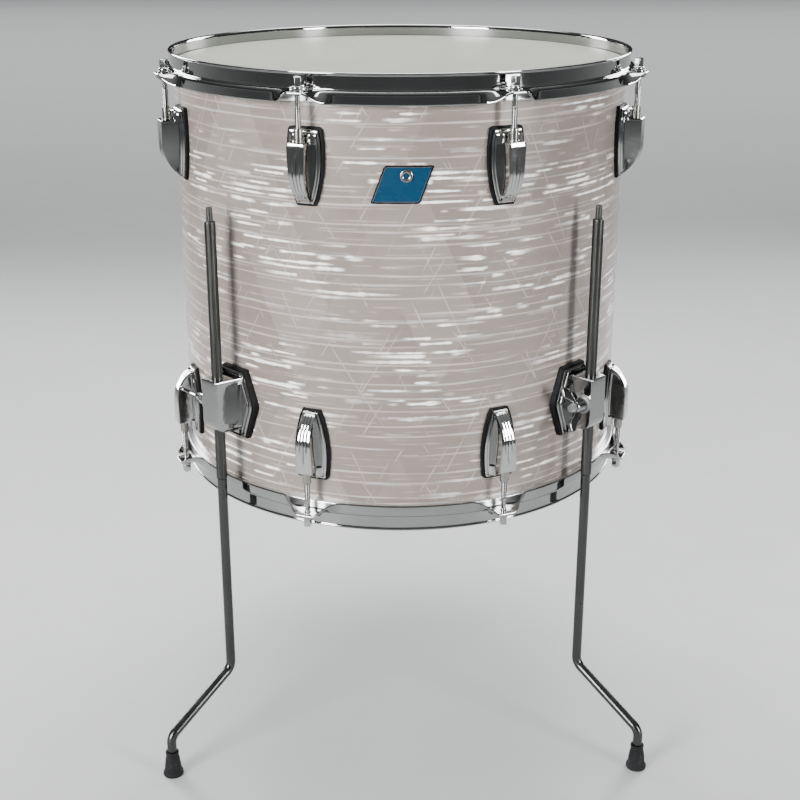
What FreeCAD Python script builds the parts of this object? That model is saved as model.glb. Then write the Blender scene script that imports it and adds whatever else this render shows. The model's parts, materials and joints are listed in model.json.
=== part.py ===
"""Floor tom: an 18 inch by 16 inch tom tom drum that stands on three adjustable legs.

Millimetres, +Z up. The origin is on the floor at the centre of the footprint's bounding box, so the drum's
own axis stands at x = 0, y = -axis_setback. The front of the drum faces -Y, and an azimuth is measured from
the front, positive towards +X. Each piece is one document object whose Label names its STEP file.
"""
import FreeCAD, Part
import math
import os

import Sketcher
from FreeCAD import Placement, Rotation, Vector

LUG_COUNT = 8
LUG_AZIMUTHS = [22.5 + 45.0 * i for i in range(LUG_COUNT)]
LEG_AZIMUTHS = {"left": -45.0, "right": 45.0, "rear": 180.0}
WING_TURNS = {"left": 35.0, "right": -72.0, "rear": -20.0}
DRILL_LENGTH = 40.0
CURVE_LENGTH = 400.0

# Driving dimensions, in millimetres. Radii and heights are those of the real parts.
SIZES = {
    # shell and covering
    "shell_radius": 228.6, "shell_wall": 6.0, "shell_depth": 406.4, "shell_lift": 282.0,
    "crest_inset": 1.7, "crest_touch": 0.8, "wrap_skin": 0.8, "wrap_margin": 7.0, "cover_gap": 0.02,
    # heads, measured from the bearing edge
    "film_skin": 0.3, "collar_gap": 0.1, "collar_bend": 3.0, "collar_drop": 10.0,
    "flesh_outer": 235.0, "flesh_top": 5.2, "flesh_height": 8.5,
    # triple-flange hoops
    "hoop_sheet": 2.3, "rim_rise": 12.6, "rim_inner": 230.1, "rim_lip": 1.1, "skirt_outer": 237.8,
    "skirt_drop": 14.2, "ear_reach": 252.5, "ear_root_half": 19.0, "ear_tip_half": 9.5,
    "scallop_half": 13.0, "ear_hole": 3.3,
    # tension rods
    "rod_circle": 245.0, "rod_radius": 2.75, "rod_length": 66.0, "rod_collar": 5.2,
    "rod_collar_height": 3.0, "rod_square": 6.35, "rod_square_height": 8.0,
    "rod_washer": 6.6, "rod_washer_skin": 1.5,
    # tension lugs: height along the drum, widths across it, depth away from it
    "lug_height": 71.0, "lug_start": 97.3, "lug_narrow_half": 9.7, "lug_wide_half": 17.6,
    "lug_side_arc": 190.0, "lug_crown_arc": 14.0, "lug_corner": 1.5, "lug_crown_drop": 8.0,
    "lug_crown_inset": 2.6, "lug_gasket_skin": 3.0, "lug_inset": 2.4, "lug_plate": 2.4, "lug_step": 1.8,
    "lug_step_inset": 1.9, "screw_hole_play": 0.2,
    "rib_half": 8.8, "rib_start": 5.0, "rib_end": 59.0, "rib_depth": 23.4, "rib_flat": 34.0,
    "rib_nose": 3.0, "rib_arc": 36.0, "rib_top_round": 1.2, "groove_end": 46.0,
    "shoulder_depth": 10.6, "shoulder_end": 66.5, "shoulder_round": 3.0, "nut_cavity": 6.6,
    "nut_cavity_start": 28.0, "nut_cavity_end": 55.0, "nut_mouth": 4.5, "nut_radius": 5.2,
    "nut_length": 13.0, "nut_nose": 4.2, "nut_nose_end": 70.5, "nut_bore": 2.81, "retainer_radius": 6.4,
    "retainer_length": 11.0, "groove_width": 2.2, "groove_depth": 0.9, "groove_pitch": 5.0,
    # lug and bracket screws
    "screw_radius": 2.0, "screw_reach": 6.8, "screw_head": 4.4, "screw_head_height": 3.0,
    "screw_clearance": 0.25, "inside_gap": 0.15,
    "washer_radius": 7.0, "washer_skin": 1.2, "lug_screw_low": 13.0, "lug_screw_high": 62.0,
    # leg brackets
    "bracket_drop": 107.3, "bracket_height": 71.0, "bracket_end_half": 17.0, "bracket_mid_half": 28.4,
    "bracket_mid_rise": 4.0, "bracket_gasket_skin": 4.2, "bracket_inset": 2.4, "bracket_plate": 2.8,
    "bracket_step": 2.4, "bracket_chamfer": 1.5, "bracket_corner_arc": 2.2, "bracket_side_arc": 14.0,
    "block_half": 11.5, "block_top": 29.0, "block_bottom": 24.0, "block_depth": 35.5,
    "block_round": 3.5, "block_sweep": 11.0, "leg_offset": 24.7, "leg_bore": 5.3, "bracket_screw_rise": 19.0,
    "clamp_rise": 2.8, "eye_cavity_half": 6.2, "eye_play": 0.3,
    # clamp eyebolt, washer and wing nut
    "eye_radius": 8.0, "eye_hole": 5.3, "eye_slack": 1.95, "eye_half": 5.6, "stud_radius": 3.9,
    "stud_end": 31.0, "stud_clearance": 0.2, "clamp_washer_radius": 9.5, "clamp_washer_skin": 1.8,
    "hub_radius": 7.2, "hub_length": 12.0, "wing_reach": 22.0, "wing_tip_rise": 26.0, "wing_skin": 3.6,
    "wing_heel": 13.4, "wing_heel_rise": 7.0, "wing_knee": 16.0, "wing_knee_rise": 13.2,
    "wing_lobe_rise": 18.2, "wing_root_inset": 1.8, "stud_thread_gap": 0.06,
    "nut_gap": 0.05,
    # legs and feet
    "leg_radius": 5.25, "leg_lower_radius": 4.8, "leg_tip_radius": 3.0, "leg_tip_length": 13.0,
    "leg_top_above_centre": 89.2, "leg_step_below_centre": 182.2, "leg_bend_height": 88.9,
    "leg_splay": 80.0, "foot_bend_height": 43.6, "leg_bend_radius": 12.0,
    "foot_height": 27.0, "foot_base_radius": 10.2, "foot_top_radius": 6.4, "foot_sole": 5.0,
    # badge and vent
    "badge_low": 102.0, "badge_high": 136.0, "badge_width": 44.0, "badge_low_left": 32.0,
    "badge_high_left": 19.3, "badge_skin": 1.0, "badge_corner": 4.0,
    "vent_rise": 127.0, "vent_radius": 4.2, "vent_bore": 2.6, "vent_flange": 5.9,
    "vent_flange_skin": 1.6,
}

doc = FreeCAD.newDocument("floor_tom")
sheet = doc.addObject("Spreadsheet::Sheet", "Sizes")


def fill_sheet():
    """Writes each driving dimension to a cell of its own, under its name."""
    foot_reach = SIZES["shell_radius"] + SIZES["wrap_skin"] + SIZES["leg_offset"] + SIZES["leg_splay"]
    SIZES["axis_setback"] = round(foot_reach * (1 - math.cos(math.radians(45.0))) / 2, 3)
    for row, (alias, value) in enumerate(SIZES.items(), start=1):
        sheet.set(f"A{row}", alias)
        sheet.set(f"B{row}", str(value))
        sheet.setAlias(f"B{row}", alias)
    doc.recompute()


def size(alias):
    """A driving dimension as the sheet holds it."""
    return float(sheet.get(alias))


def bound(expression):
    """An expression in plain size names, with the sheet's name put before each of them."""
    words = []
    for word in expression.replace("(", " ( ").replace(")", " ) ").split():
        words.append(f"Sizes.{word}" if word in SIZES else word)
    return " ".join(words)


def number(expression):
    """The value of an expression in plain size names."""
    return float(sheet.evalExpression(bound(expression)))


fill_sheet()

SURFACE = size("shell_radius") + size("wrap_skin")
CENTRE_Z = size("shell_lift") + size("shell_depth") / 2
TOP_EDGE = size("shell_lift") + size("shell_depth")
BOTTOM_EDGE = size("shell_lift")
AXIS = Vector(0, -size("axis_setback"), 0)


# --- placing ---------------------------------------------------------------------------------------------
def on_axis(z=0.0, turn=0.0, upside_down=False):
    """A placement on the drum's axis at height z, turned about it, and upside down if asked."""
    rotation = Rotation(Vector(0, 0, 1), turn)
    if upside_down:
        rotation = rotation.multiply(Rotation(Vector(1, 0, 0), 180))
    return Placement(AXIS + Vector(0, 0, z), rotation)


def on_shell(azimuth, z, radius=SURFACE, upside_down=False):
    """A placement whose local X runs round the drum, Y up (or down), and Z away from the drum's axis."""
    a = math.radians(azimuth)
    outward = Vector(math.sin(a), -math.cos(a), 0)
    up = Vector(0, 0, -1 if upside_down else 1)
    rotation = Rotation(up.cross(outward), up, outward, "ZXY")
    return Placement(AXIS + outward * radius + Vector(0, 0, z), rotation)


# --- building blocks -------------------------------------------------------------------------------------
def body(label):
    made = doc.addObject("PartDesign::Body", label)
    made.Label = label
    return made


def plane_of(owner, role):
    return next(f for f in owner.Origin.OriginFeatures if f.Role == role)


def sketch(owner, name, plane="XY_Plane", offset=None):
    """A sketch on one of the body's own origin planes, raised by an expression if one is given."""
    made = owner.newObject("Sketcher::SketchObject", name)
    made.AttachmentSupport = [(plane_of(owner, plane), "")]
    made.MapMode = "FlatFace"
    if offset is not None:
        made.setExpression("AttachmentOffset.Base.z", bound(offset))
    return made


def fix_point(target, geometry, end, x, y):
    """Holds one end of a sketch line or arc at x, y, each an expression."""
    for kind, expression in (("DistanceX", x), ("DistanceY", y)):
        index = target.addConstraint(
            Sketcher.Constraint(kind, -1, 1, geometry, end, number(expression))
        )
        target.setExpression(f"Constraints[{index}]", bound(expression))


def outline(target, corners):
    """A closed outline. A corner is (x, y), or (x, y, radius) where an arc runs to the next corner.

    Each is an expression in size names. A positive radius bulges to the right of the way the outline runs.
    """
    count = len(corners)
    points = [Vector(number(c[0]), number(c[1]), 0) for c in corners]
    for i, corner in enumerate(corners):
        start, finish = points[i], points[(i + 1) % count]
        following = corners[(i + 1) % count]
        if len(corner) == 2:
            edge = target.addGeometry(Part.LineSegment(start, finish))
            fix_point(target, edge, 1, corner[0], corner[1])
            fix_point(target, edge, 2, following[0], following[1])
            continue
        radius = number(corner[2])
        chord = finish - start
        right = Vector(chord.y, -chord.x, 0).normalize()
        rise = abs(radius) - math.sqrt(radius ** 2 - (chord.Length / 2) ** 2)
        middle = (start + finish) * 0.5 + right * math.copysign(rise, radius)
        edge = target.addGeometry(Part.Arc(start, middle, finish))
        begins_here = target.getPoint(edge, 1).distanceToPoint(start) < 1e-6
        fix_point(target, edge, 1 if begins_here else 2, corner[0], corner[1])
        fix_point(target, edge, 2 if begins_here else 1, following[0], following[1])
        index = target.addConstraint(Sketcher.Constraint("Radius", edge, abs(radius)))
        sign = "-1 * " if radius < 0 else ""
        target.setExpression(f"Constraints[{index}]", bound(f"{sign}( {corner[2]} )"))
    return target


def circle(target, x, y, radius):
    """A circle in a sketch, its centre and radius given as expressions."""
    centre = Vector(number(x), number(y), 0)
    edge = target.addGeometry(Part.Circle(centre, Vector(0, 0, 1), number(radius)))
    fix_point(target, edge, 3, x, y)
    index = target.addConstraint(Sketcher.Constraint("Radius", edge, number(radius)))
    target.setExpression(f"Constraints[{index}]", bound(radius))
    return target


def revolve(owner, corners, name="turned"):
    """A solid of revolution about Z from an outline in the XZ plane."""
    profile = outline(sketch(owner, name + "_profile", "XZ_Plane"), corners)
    made = owner.newObject("PartDesign::Revolution", name)
    made.Profile = profile
    made.ReferenceAxis = (profile, ["V_Axis"])
    made.Angle = 360
    doc.recompute()
    return made


def pad(owner, profile, length, name, midplane=False, reverse=False):
    made = owner.newObject("PartDesign::Pad", name)
    made.Profile = profile
    made.SideType = "Symmetric" if midplane else "One side"
    made.Reversed = reverse
    made.setExpression("Length", bound(length))
    doc.recompute()
    return made


def pocket(owner, profile, length, name, midplane=False, reverse=False):
    """A cut that has to take something away, so a cut pointing the wrong way stops the build."""
    before = owner.Shape.Volume
    made = owner.newObject("PartDesign::Pocket", name)
    made.Profile = profile
    made.SideType = "Symmetric" if midplane else "One side"
    made.Reversed = reverse
    made.setExpression("Length", bound(length))
    doc.recompute()
    if owner.Shape.Volume > before - 1e-3:
        raise RuntimeError(f"{owner.Label}: {name} cuts nothing")
    return made


def round_edges(owner, radius, choose, name):
    """Fillets the edges of a body's tip that choose() picks."""
    base = owner.Tip
    names = [f"Edge{i}" for i, edge in enumerate(base.Shape.Edges, start=1) if choose(edge)]
    made = owner.newObject("PartDesign::Fillet", name)
    made.Base = (base, names)
    made.setExpression("Radius", bound(radius))
    doc.recompute()
    return made


exports = []


def keep(made, placement=None):
    """Marks a document object as a piece of the drum, at its place."""
    if placement is not None:
        made.Placement = placement
    exports.append(made)
    return made


def group(label, master, placements):
    """Identical separate solids as one piece: copies of a master body's shape at each placement."""
    made = doc.addObject("Part::Feature", label)
    made.Label = label
    copies = []
    for placement in placements:
        copied = master.Shape.copy()
        copied.Placement = placement.multiply(master.Placement)
        copies.append(copied)
    made.Shape = Part.makeCompound(copies)
    return keep(made)


# --- shell and covering ----------------------------------------------------------------------------------
def make_drills():
    """One cylinder for each screw through the shell, and a wider one for the vent."""
    drills = []
    for placement in lug_screw_places() + bracket_screw_places():
        drill = doc.addObject("Part::Cylinder", "drill")
        drill.setExpression("Radius", bound("screw_radius + screw_clearance"))
        drill.Height = DRILL_LENGTH
        drill.Placement = placement.multiply(Placement(Vector(0, 0, -DRILL_LENGTH / 2), Rotation()))
        drills.append(drill)
    vent = doc.addObject("Part::Cylinder", "vent_drill")
    vent.setExpression("Radius", bound("vent_radius + cover_gap"))
    vent.Height = DRILL_LENGTH
    vent.Placement = on_shell(0, CENTRE_Z + size("vent_rise"), SURFACE - DRILL_LENGTH / 2)
    together = doc.addObject("Part::Compound", "drills")
    together.Links = drills + [vent]
    return together


def drilled(label, blank, drills):
    made = doc.addObject("Part::Cut", label)
    made.Label = label
    made.Base = blank
    made.Tool = drills
    return keep(made)


def make_shell(drills):
    """Maple ply shell: 45 degree bearing edges cut from the inside, with a small outer round-over."""
    blank = body("shell_blank")
    inner = "shell_radius - shell_wall"
    crest = "shell_radius - crest_inset"
    bevel = "shell_wall - crest_inset"
    revolve(blank, [
        (inner, bevel), (crest, "0"), ("shell_radius", "crest_inset"),
        ("shell_radius", "shell_depth - crest_inset"), (crest, "shell_depth"),
        (inner, f"shell_depth - ( {bevel} )"),
    ])
    blank.Placement = on_axis(BOTTOM_EDGE)
    return drilled("shell", blank, drills)


def make_wrap(drills):
    """Pearl sheet glued round the shell, short of both bearing edges."""
    blank = body("wrap_blank")
    outer = "shell_radius + wrap_skin"
    revolve(blank, [
        ("shell_radius", "wrap_margin"), (outer, "wrap_margin"),
        (outer, "shell_depth - wrap_margin"), ("shell_radius", "shell_depth - wrap_margin"),
    ])
    blank.Placement = on_axis(BOTTOM_EDGE)
    return drilled("pearl_wrap", blank, drills)


# --- heads and hoops -------------------------------------------------------------------------------------
def make_head(side, placement):
    """A head: film stretched over the bearing edge, its collar set in a flesh hoop. Z = 0 is the edge."""
    collar = "shell_radius + wrap_skin + collar_gap"
    crest = "shell_radius - crest_inset + crest_touch"
    film = body(f"{side}_head_film")
    revolve(film, [
        ("0", "0"), (crest, "0"), (collar, "-1 * collar_bend"), (collar, "-1 * collar_drop"),
        (f"{collar} + film_skin", "-1 * collar_drop"), (f"{collar} + film_skin", "0.1 - collar_bend"),
        (crest, "film_skin"), ("0", "film_skin"),
    ])
    keep(film, placement)
    flesh = body(f"{side}_flesh_hoop")
    low = "-1 * flesh_top - flesh_height"
    revolve(flesh, [
        (f"{collar} + film_skin", low), ("flesh_outer - 1", low, "1"), ("flesh_outer", f"{low} + 1"),
        ("flesh_outer", "-1 * flesh_top - 1", "1"), ("flesh_outer - 1", "-1 * flesh_top"),
        (f"{collar} + film_skin", "-1 * flesh_top"),
    ])
    keep(flesh, placement)


def make_hoop(side, placement):
    """Triple-flange hoop: lipped rim, flange over the flesh hoop, skirt, and an ear at each lug."""
    hoop = body(f"{side}_hoop")
    under = "-1 * flesh_top"
    over = "hoop_sheet - flesh_top"
    rim_outer = "rim_inner + hoop_sheet"
    skirt_inner = "skirt_outer - hoop_sheet"
    revolve(hoop, [
        ("rim_inner", under), (skirt_inner, under), (skirt_inner, "-1 * skirt_drop"),
        ("skirt_outer", "-1 * skirt_drop"), ("skirt_outer", f"{over} - 2", "2"),
        ("skirt_outer - 2", over), (f"{rim_outer} + 1.6", over, "-1.6"), (rim_outer, f"{over} + 1.6"),
        (rim_outer, "rim_rise - 3.4"), (f"{rim_outer} + rim_lip", "rim_rise - 2", "1.3"),
        (f"{rim_outer} + 0.2", "rim_rise"), ("rim_inner + 1", "rim_rise", "1"),
        ("rim_inner", "rim_rise - 1"),
    ])
    ear = outline(sketch(hoop, "ear_outline", offset=under), [
        ("skirt_outer - 3.5", "-1 * ear_root_half"), ("ear_reach - 4", "-1 * ear_tip_half", "5"),
        ("ear_reach", "4 - ear_tip_half"), ("ear_reach", "ear_tip_half - 4", "5"),
        ("ear_reach - 4", "ear_tip_half"), ("skirt_outer - 3.5", "ear_root_half"),
    ])
    ear_pad = pad(hoop, ear, "hoop_sheet", "ear")
    gap = outline(sketch(hoop, "scallop_outline", offset=under), [
        (f"{skirt_inner} - 1", "-1 * scallop_half"), ("skirt_outer + 1", "-1 * scallop_half"),
        ("skirt_outer + 1", "scallop_half"), (f"{skirt_inner} - 1", "scallop_half"),
    ])
    scallop = pocket(hoop, gap, "skirt_drop", "scallop")
    hole = circle(sketch(hoop, "ear_hole_outline", offset=f"{over} + 1"), "rod_circle", "0", "ear_hole")
    ear_hole = pocket(hoop, hole, "hoop_sheet + 2", "ear_hole")
    ring = hoop.newObject("PartDesign::PolarPattern", "eight_ears")
    ring.Originals = [ear_pad, scallop, ear_hole]
    ring.Axis = (plane_of(hoop, "Z_Axis"), [""])
    ring.Angle = 360
    ring.Occurrences = LUG_COUNT
    hoop.Tip = ring
    doc.recompute()
    return keep(hoop, placement)


# --- tension rods ----------------------------------------------------------------------------------------
def make_rod(label, placement):
    """Key rod, head up: Z = 0 is under the collar. The thread is plain, at its outside diameter."""
    rod = body(label)
    revolve(rod, [
        ("0", "-1 * rod_length"), ("rod_radius - 0.8", "-1 * rod_length"),
        ("rod_radius", "0.8 - rod_length"), ("rod_radius", "0"), ("rod_collar", "0"),
        ("rod_collar", "1.2"), ("rod_square / 2 + 0.3", "rod_collar_height"), ("0", "rod_collar_height"),
    ])
    half = "rod_square / 2"
    key = outline(sketch(rod, "key_outline", offset="rod_collar_height - 0.5"), [
        (f"-1 * {half}", f"-1 * {half}"), (half, f"-1 * {half}"), (half, half), (f"-1 * {half}", half),
    ])
    pad(rod, key, "rod_square_height + 0.5", "key_square")
    return keep(rod, placement)


# --- tension lugs ----------------------------------------------------------------------------------------
def lug_outline(inset):
    """The lug's plan outline, drawn in by inset: narrow end at y = 0, wide end at y = lug_height."""
    low, high = inset, f"lug_height - ( {inset} )"
    narrow, wide = f"lug_narrow_half - ( {inset} )", f"lug_wide_half - ( {inset} )"
    shoulder, crown = f"{high} - lug_crown_drop", f"{wide} - lug_crown_inset"
    return [
        (f"lug_corner - ( {narrow} )", low), (f"{narrow} - lug_corner", low, "lug_corner"),
        (narrow, f"{low} + lug_corner", "lug_side_arc"), (wide, shoulder, "lug_crown_arc"),
        (crown, high), (f"-1 * ( {crown} )", high, "lug_crown_arc"),
        (f"-1 * ( {wide} )", shoulder, "lug_side_arc"),
        (f"-1 * ( {narrow} )", f"{low} + lug_corner", "lug_corner"),
    ]


def hollow_back(owner, name):
    """Cuts the curve of the covered shell out of a piece that is drawn flat, in the shell's own frame."""
    before = owner.Shape.Volume
    cut = sketch(owner, name, "XZ_Plane")
    circle(cut, "0", "-1 * shell_radius - wrap_skin", "shell_radius + wrap_skin + cover_gap")
    made = owner.newObject("PartDesign::Pocket", name + "_cut")
    made.Profile = cut
    made.SideType = "Symmetric"
    made.Length = CURVE_LENGTH
    doc.recompute()
    if owner.Shape.Volume > before - 1e-3:
        raise RuntimeError(f"{owner.Label}: {name} cuts nothing")


def make_lug_gasket():
    gasket = body("lug_gasket_master")
    pad(gasket, outline(sketch(gasket, "plan", offset="-2"), lug_outline("0")),
        "lug_gasket_skin + 2", "pad")
    hollow_back(gasket, "shell_curve")
    holes = sketch(gasket, "screw_holes", offset="lug_gasket_skin + 1")
    circle(holes, "0", "lug_screw_low", "screw_radius + screw_hole_play")
    circle(holes, "0", "lug_screw_high", "screw_radius + screw_hole_play")
    pocket(gasket, holes, "lug_gasket_skin + 6", "screws")
    return gasket


def make_lug_casting():
    """Die-cast lug: stepped plate, deep rib that curves down to the narrow end, open-backed nut cavity."""
    lug = body("lug_casting_master")
    skin = "lug_gasket_skin"
    step = f"{skin} + lug_plate"
    face = "rib_depth"
    pad(lug, outline(sketch(lug, "plate_plan", offset=skin), lug_outline("lug_inset")), "lug_plate", "plate")
    pad(lug, outline(sketch(lug, "step_plan", offset=step), lug_outline("lug_inset + lug_step_inset")),
        "lug_step", "step")
    ribs = sketch(lug, "rib_side", "YZ_Plane")
    outline(ribs, [
        ("rib_start", skin), ("rib_end", skin), ("rib_end", f"{face} - rib_top_round", "rib_top_round"),
        ("rib_end - rib_top_round", face), ("rib_flat", face, "rib_arc"),
        ("rib_start", f"{step} + rib_nose"),
    ])
    pad(lug, ribs, "2 * rib_half", "rib", midplane=True)
    shoulders = sketch(lug, "shoulder_side", "YZ_Plane")
    outline(shoulders, [
        ("rib_end - 1", skin), ("shoulder_end", skin),
        ("shoulder_end", "shoulder_depth - shoulder_round", "shoulder_round"),
        ("shoulder_end - shoulder_round", "shoulder_depth"), ("rib_end - 1", "shoulder_depth"),
    ])
    pad(lug, shoulders, "2 * rib_half", "shoulder", midplane=True)
    axis = "rod_circle - shell_radius - wrap_skin"
    cavity = sketch(lug, "cavity_section", "XZ_Plane", offset="-1 * nut_cavity_end")
    circle(cavity, "0", axis, "nut_cavity")
    pocket(lug, cavity, "nut_cavity_end - nut_cavity_start", "cavity", reverse=True)
    back = sketch(lug, "back_opening", offset=axis)
    outline(back, [
        ("-1 * nut_cavity", "nut_cavity_start"), ("nut_cavity", "nut_cavity_start"),
        ("nut_cavity", "nut_cavity_end"), ("-1 * nut_cavity", "nut_cavity_end"),
    ])
    pocket(lug, back, axis, "back")
    mouth = sketch(lug, "mouth_section", "XZ_Plane", offset="-1 * rib_end - 1")
    circle(mouth, "0", axis, "nut_mouth")
    pocket(lug, mouth, "rib_end - nut_cavity_end + 2", "mouth", reverse=True)
    grooves = sketch(lug, "groove_plan", offset=face)
    for side in ("-0.5", "0.5"):
        outline(grooves, [
            (f"{side} * groove_pitch - groove_width / 2", "rib_start"),
            (f"{side} * groove_pitch + groove_width / 2", "rib_start"),
            (f"{side} * groove_pitch + groove_width / 2", "groove_end"),
            (f"{side} * groove_pitch - groove_width / 2", "groove_end"),
        ])
    pocket(lug, grooves, "groove_depth", "grooves")
    holes = sketch(lug, "screw_holes", offset=skin)
    circle(holes, "0", "lug_screw_low", "screw_radius + cover_gap")
    circle(holes, "0", "lug_screw_high", "screw_radius + cover_gap")
    pocket(lug, holes, "screw_reach - lug_gasket_skin + 0.4", "screws", reverse=True)
    return lug


def make_swivel_nut():
    """Swivel nut, its axis along Z: a barrel in the lug's cavity and a nose at the mouth."""
    nut = body("swivel_nut_master")
    foot = "nut_cavity_end - nut_length"
    revolve(nut, [
        ("nut_bore", foot), ("nut_radius", foot), ("nut_radius", "nut_cavity_end - 0.1"),
        ("nut_nose", "nut_cavity_end - 0.1"), ("nut_nose", "nut_nose_end - 0.6"),
        ("nut_nose - 0.6", "nut_nose_end"), ("nut_bore", "nut_nose_end"),
    ])
    return nut


def make_retainer():
    """Nylon sleeve that keeps the swivel nut from rattling in its cavity."""
    sleeve = body("nut_retainer_master")
    top = "nut_cavity_end - 1"
    revolve(sleeve, [
        ("nut_radius + cover_gap", f"{top} - retainer_length"),
        ("retainer_radius", f"{top} - retainer_length"), ("retainer_radius", top),
        ("nut_radius + cover_gap", top),
    ])
    return sleeve


def make_screw():
    """Machine screw from inside the shell, Z outward, with z = 0 at the covered shell's surface."""
    screw = body("mounting_screw_master")
    seat = "-1 * shell_wall - wrap_skin - washer_skin - inside_gap"
    revolve(screw, [
        ("0", f"{seat} - screw_head_height"), ("screw_head - 1.4", f"{seat} - screw_head_height", "3"),
        ("screw_head", seat), ("screw_radius", seat), ("screw_radius", "screw_reach"), ("0", "screw_reach"),
    ])
    return screw


def make_washer():
    """Steel washer under a mounting screw's head, inside the shell."""
    washer = body("mounting_washer_master")
    top = "-1 * shell_wall - wrap_skin - inside_gap"
    bottom = f"{top} - washer_skin"
    bore = "screw_radius + screw_hole_play"
    revolve(washer, [(bore, bottom), ("washer_radius", bottom), ("washer_radius", top), (bore, top)])
    return washer


def make_rod_washer():
    """Washer between a tension rod's collar and the hoop's ear, its lower face at z = 0."""
    washer = body("rod_washer_master")
    bore = "rod_radius + 0.1"
    revolve(washer, [
        (bore, "0"), ("rod_washer", "0"), ("rod_washer", "rod_washer_skin"), (bore, "rod_washer_skin"),
    ])
    return washer


# --- where the lugs, brackets and their screws sit -------------------------------------------------------
def lug_places(side):
    """The frame of each lug of one head: y = 0 at its narrow end, y growing towards the head."""
    start = size("lug_start")
    if side == "batter":
        return [on_shell(azimuth, CENTRE_Z + start) for azimuth in LUG_AZIMUTHS]
    return [on_shell(azimuth, CENTRE_Z - start, upside_down=True) for azimuth in LUG_AZIMUTHS]


def shifted(placement, y):
    return placement.multiply(Placement(Vector(0, y, 0), Rotation()))


def lug_screw_places():
    frames = lug_places("batter") + lug_places("resonant")
    return [shifted(frame, size(rise)) for frame in frames for rise in ("lug_screw_low", "lug_screw_high")]


def bracket_place(azimuth):
    return on_shell(azimuth, CENTRE_Z - size("bracket_drop"))


def bracket_screw_places():
    rise = size("bracket_screw_rise")
    frames = [bracket_place(azimuth) for azimuth in LEG_AZIMUTHS.values()]
    return [shifted(frame, y) for frame in frames for y in (-rise, rise)]


# --- leg brackets ----------------------------------------------------------------------------------------
def bracket_outline(inset):
    """The bracket's six-sided plan, drawn in by inset, with short upright sides at mid height."""
    end = f"bracket_height / 2 - ( {inset} )"
    rise = "bracket_mid_rise"
    narrow, wide = f"bracket_end_half - ( {inset} )", f"bracket_mid_half - ( {inset} )"
    flat, cut = f"{narrow} - bracket_chamfer", f"{end} - bracket_chamfer"
    corner, bulge = "bracket_corner_arc", "bracket_side_arc"
    return [
        (f"-1 * ( {flat} )", f"-1 * ( {end} )"), (flat, f"-1 * ( {end} )", corner),
        (narrow, f"-1 * ( {cut} )"), (wide, f"-1 * {rise}", bulge), (wide, rise),
        (narrow, cut, corner), (flat, end), (f"-1 * ( {flat} )", end, corner),
        (f"-1 * ( {narrow} )", cut), (f"-1 * ( {wide} )", rise, bulge),
        (f"-1 * ( {wide} )", f"-1 * {rise}"), (f"-1 * ( {narrow} )", f"-1 * ( {cut} )", corner),
    ]


def make_bracket_gasket():
    gasket = body("bracket_gasket_master")
    pad(gasket, outline(sketch(gasket, "plan", offset="-4"), bracket_outline("0")),
        "bracket_gasket_skin + 4", "pad")
    hollow_back(gasket, "shell_curve")
    holes = sketch(gasket, "screw_holes", offset="bracket_gasket_skin + 1")
    circle(holes, "0", "-1 * bracket_screw_rise", "screw_radius + screw_hole_play")
    circle(holes, "0", "bracket_screw_rise", "screw_radius + screw_hole_play")
    pocket(gasket, holes, "bracket_gasket_skin + 6", "screws")
    return gasket


def make_bracket(label, azimuth):
    """Cast leg bracket: stepped plate and a block with the leg's bore and the eyebolt's pocket."""
    bracket = body(label)
    skin = "bracket_gasket_skin"
    step = f"{skin} + bracket_plate"
    pad(bracket, outline(sketch(bracket, "plate_plan", offset=skin), bracket_outline("bracket_inset")),
        "bracket_plate", "plate")
    pad(bracket, outline(sketch(bracket, "step_plan", offset=step),
                         bracket_outline("bracket_inset + bracket_step")), "bracket_step", "step")
    block = outline(sketch(bracket, "block_side", "YZ_Plane"), [
        ("-1 * block_bottom", skin), ("block_top", skin), ("block_top", "block_depth"),
        ("block_sweep - block_bottom", "block_depth", "block_sweep"),
        ("-1 * block_bottom", "block_depth - block_sweep"),
    ])
    pad(bracket, block, "2 * block_half", "block", midplane=True)
    side, face = size("block_half"), size("block_depth")
    swept = face - size("block_sweep")

    def is_front_corner(edge):
        box = edge.BoundBox
        return abs(abs(box.Center.x) - side) < 1e-3 and box.ZMax > face - 1e-3 and box.ZMin > swept - 1e-3

    round_edges(bracket, "block_round", is_front_corner, "block_round")
    bore = circle(sketch(bracket, "bore_section", "XZ_Plane"), "0", "leg_offset", "leg_bore")
    pocket(bracket, bore, "2 * bracket_height", "bore", midplane=True)
    reach = "( eye_radius + eye_slack + eye_play )"
    low = "clamp_rise - eye_cavity_half"
    high = "clamp_rise + eye_cavity_half"
    eye_pocket = outline(sketch(bracket, "eye_pocket_plan", offset="leg_offset + eye_radius + eye_play"), [
        (f"-1 * {reach}", low), (reach, low), (reach, high), (f"-1 * {reach}", high),
    ])
    pocket(bracket, eye_pocket, "block_depth", "eye_pocket")
    stud_hole = sketch(bracket, "stud_hole_section", "YZ_Plane")
    circle(stud_hole, "clamp_rise", "leg_offset", "stud_radius + stud_clearance")
    pocket(bracket, stud_hole, "block_half + 5", "stud_hole")
    holes = sketch(bracket, "screw_holes", offset=skin)
    circle(holes, "0", "-1 * bracket_screw_rise", "screw_radius + cover_gap")
    circle(holes, "0", "bracket_screw_rise", "screw_radius + cover_gap")
    pocket(bracket, holes, f"screw_reach - {skin} + 0.4", "screws", reverse=True)
    return keep(bracket, bracket_place(azimuth))


def clamp_place(azimuth):
    """The frame of a leg clamp: Z along the eyebolt towards the wing nut, its origin on the leg's axis."""
    local = Placement(Vector(0, size("clamp_rise"), size("leg_offset")), Rotation(Vector(0, 1, 0), -90))
    return bracket_place(azimuth).multiply(local)


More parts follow.
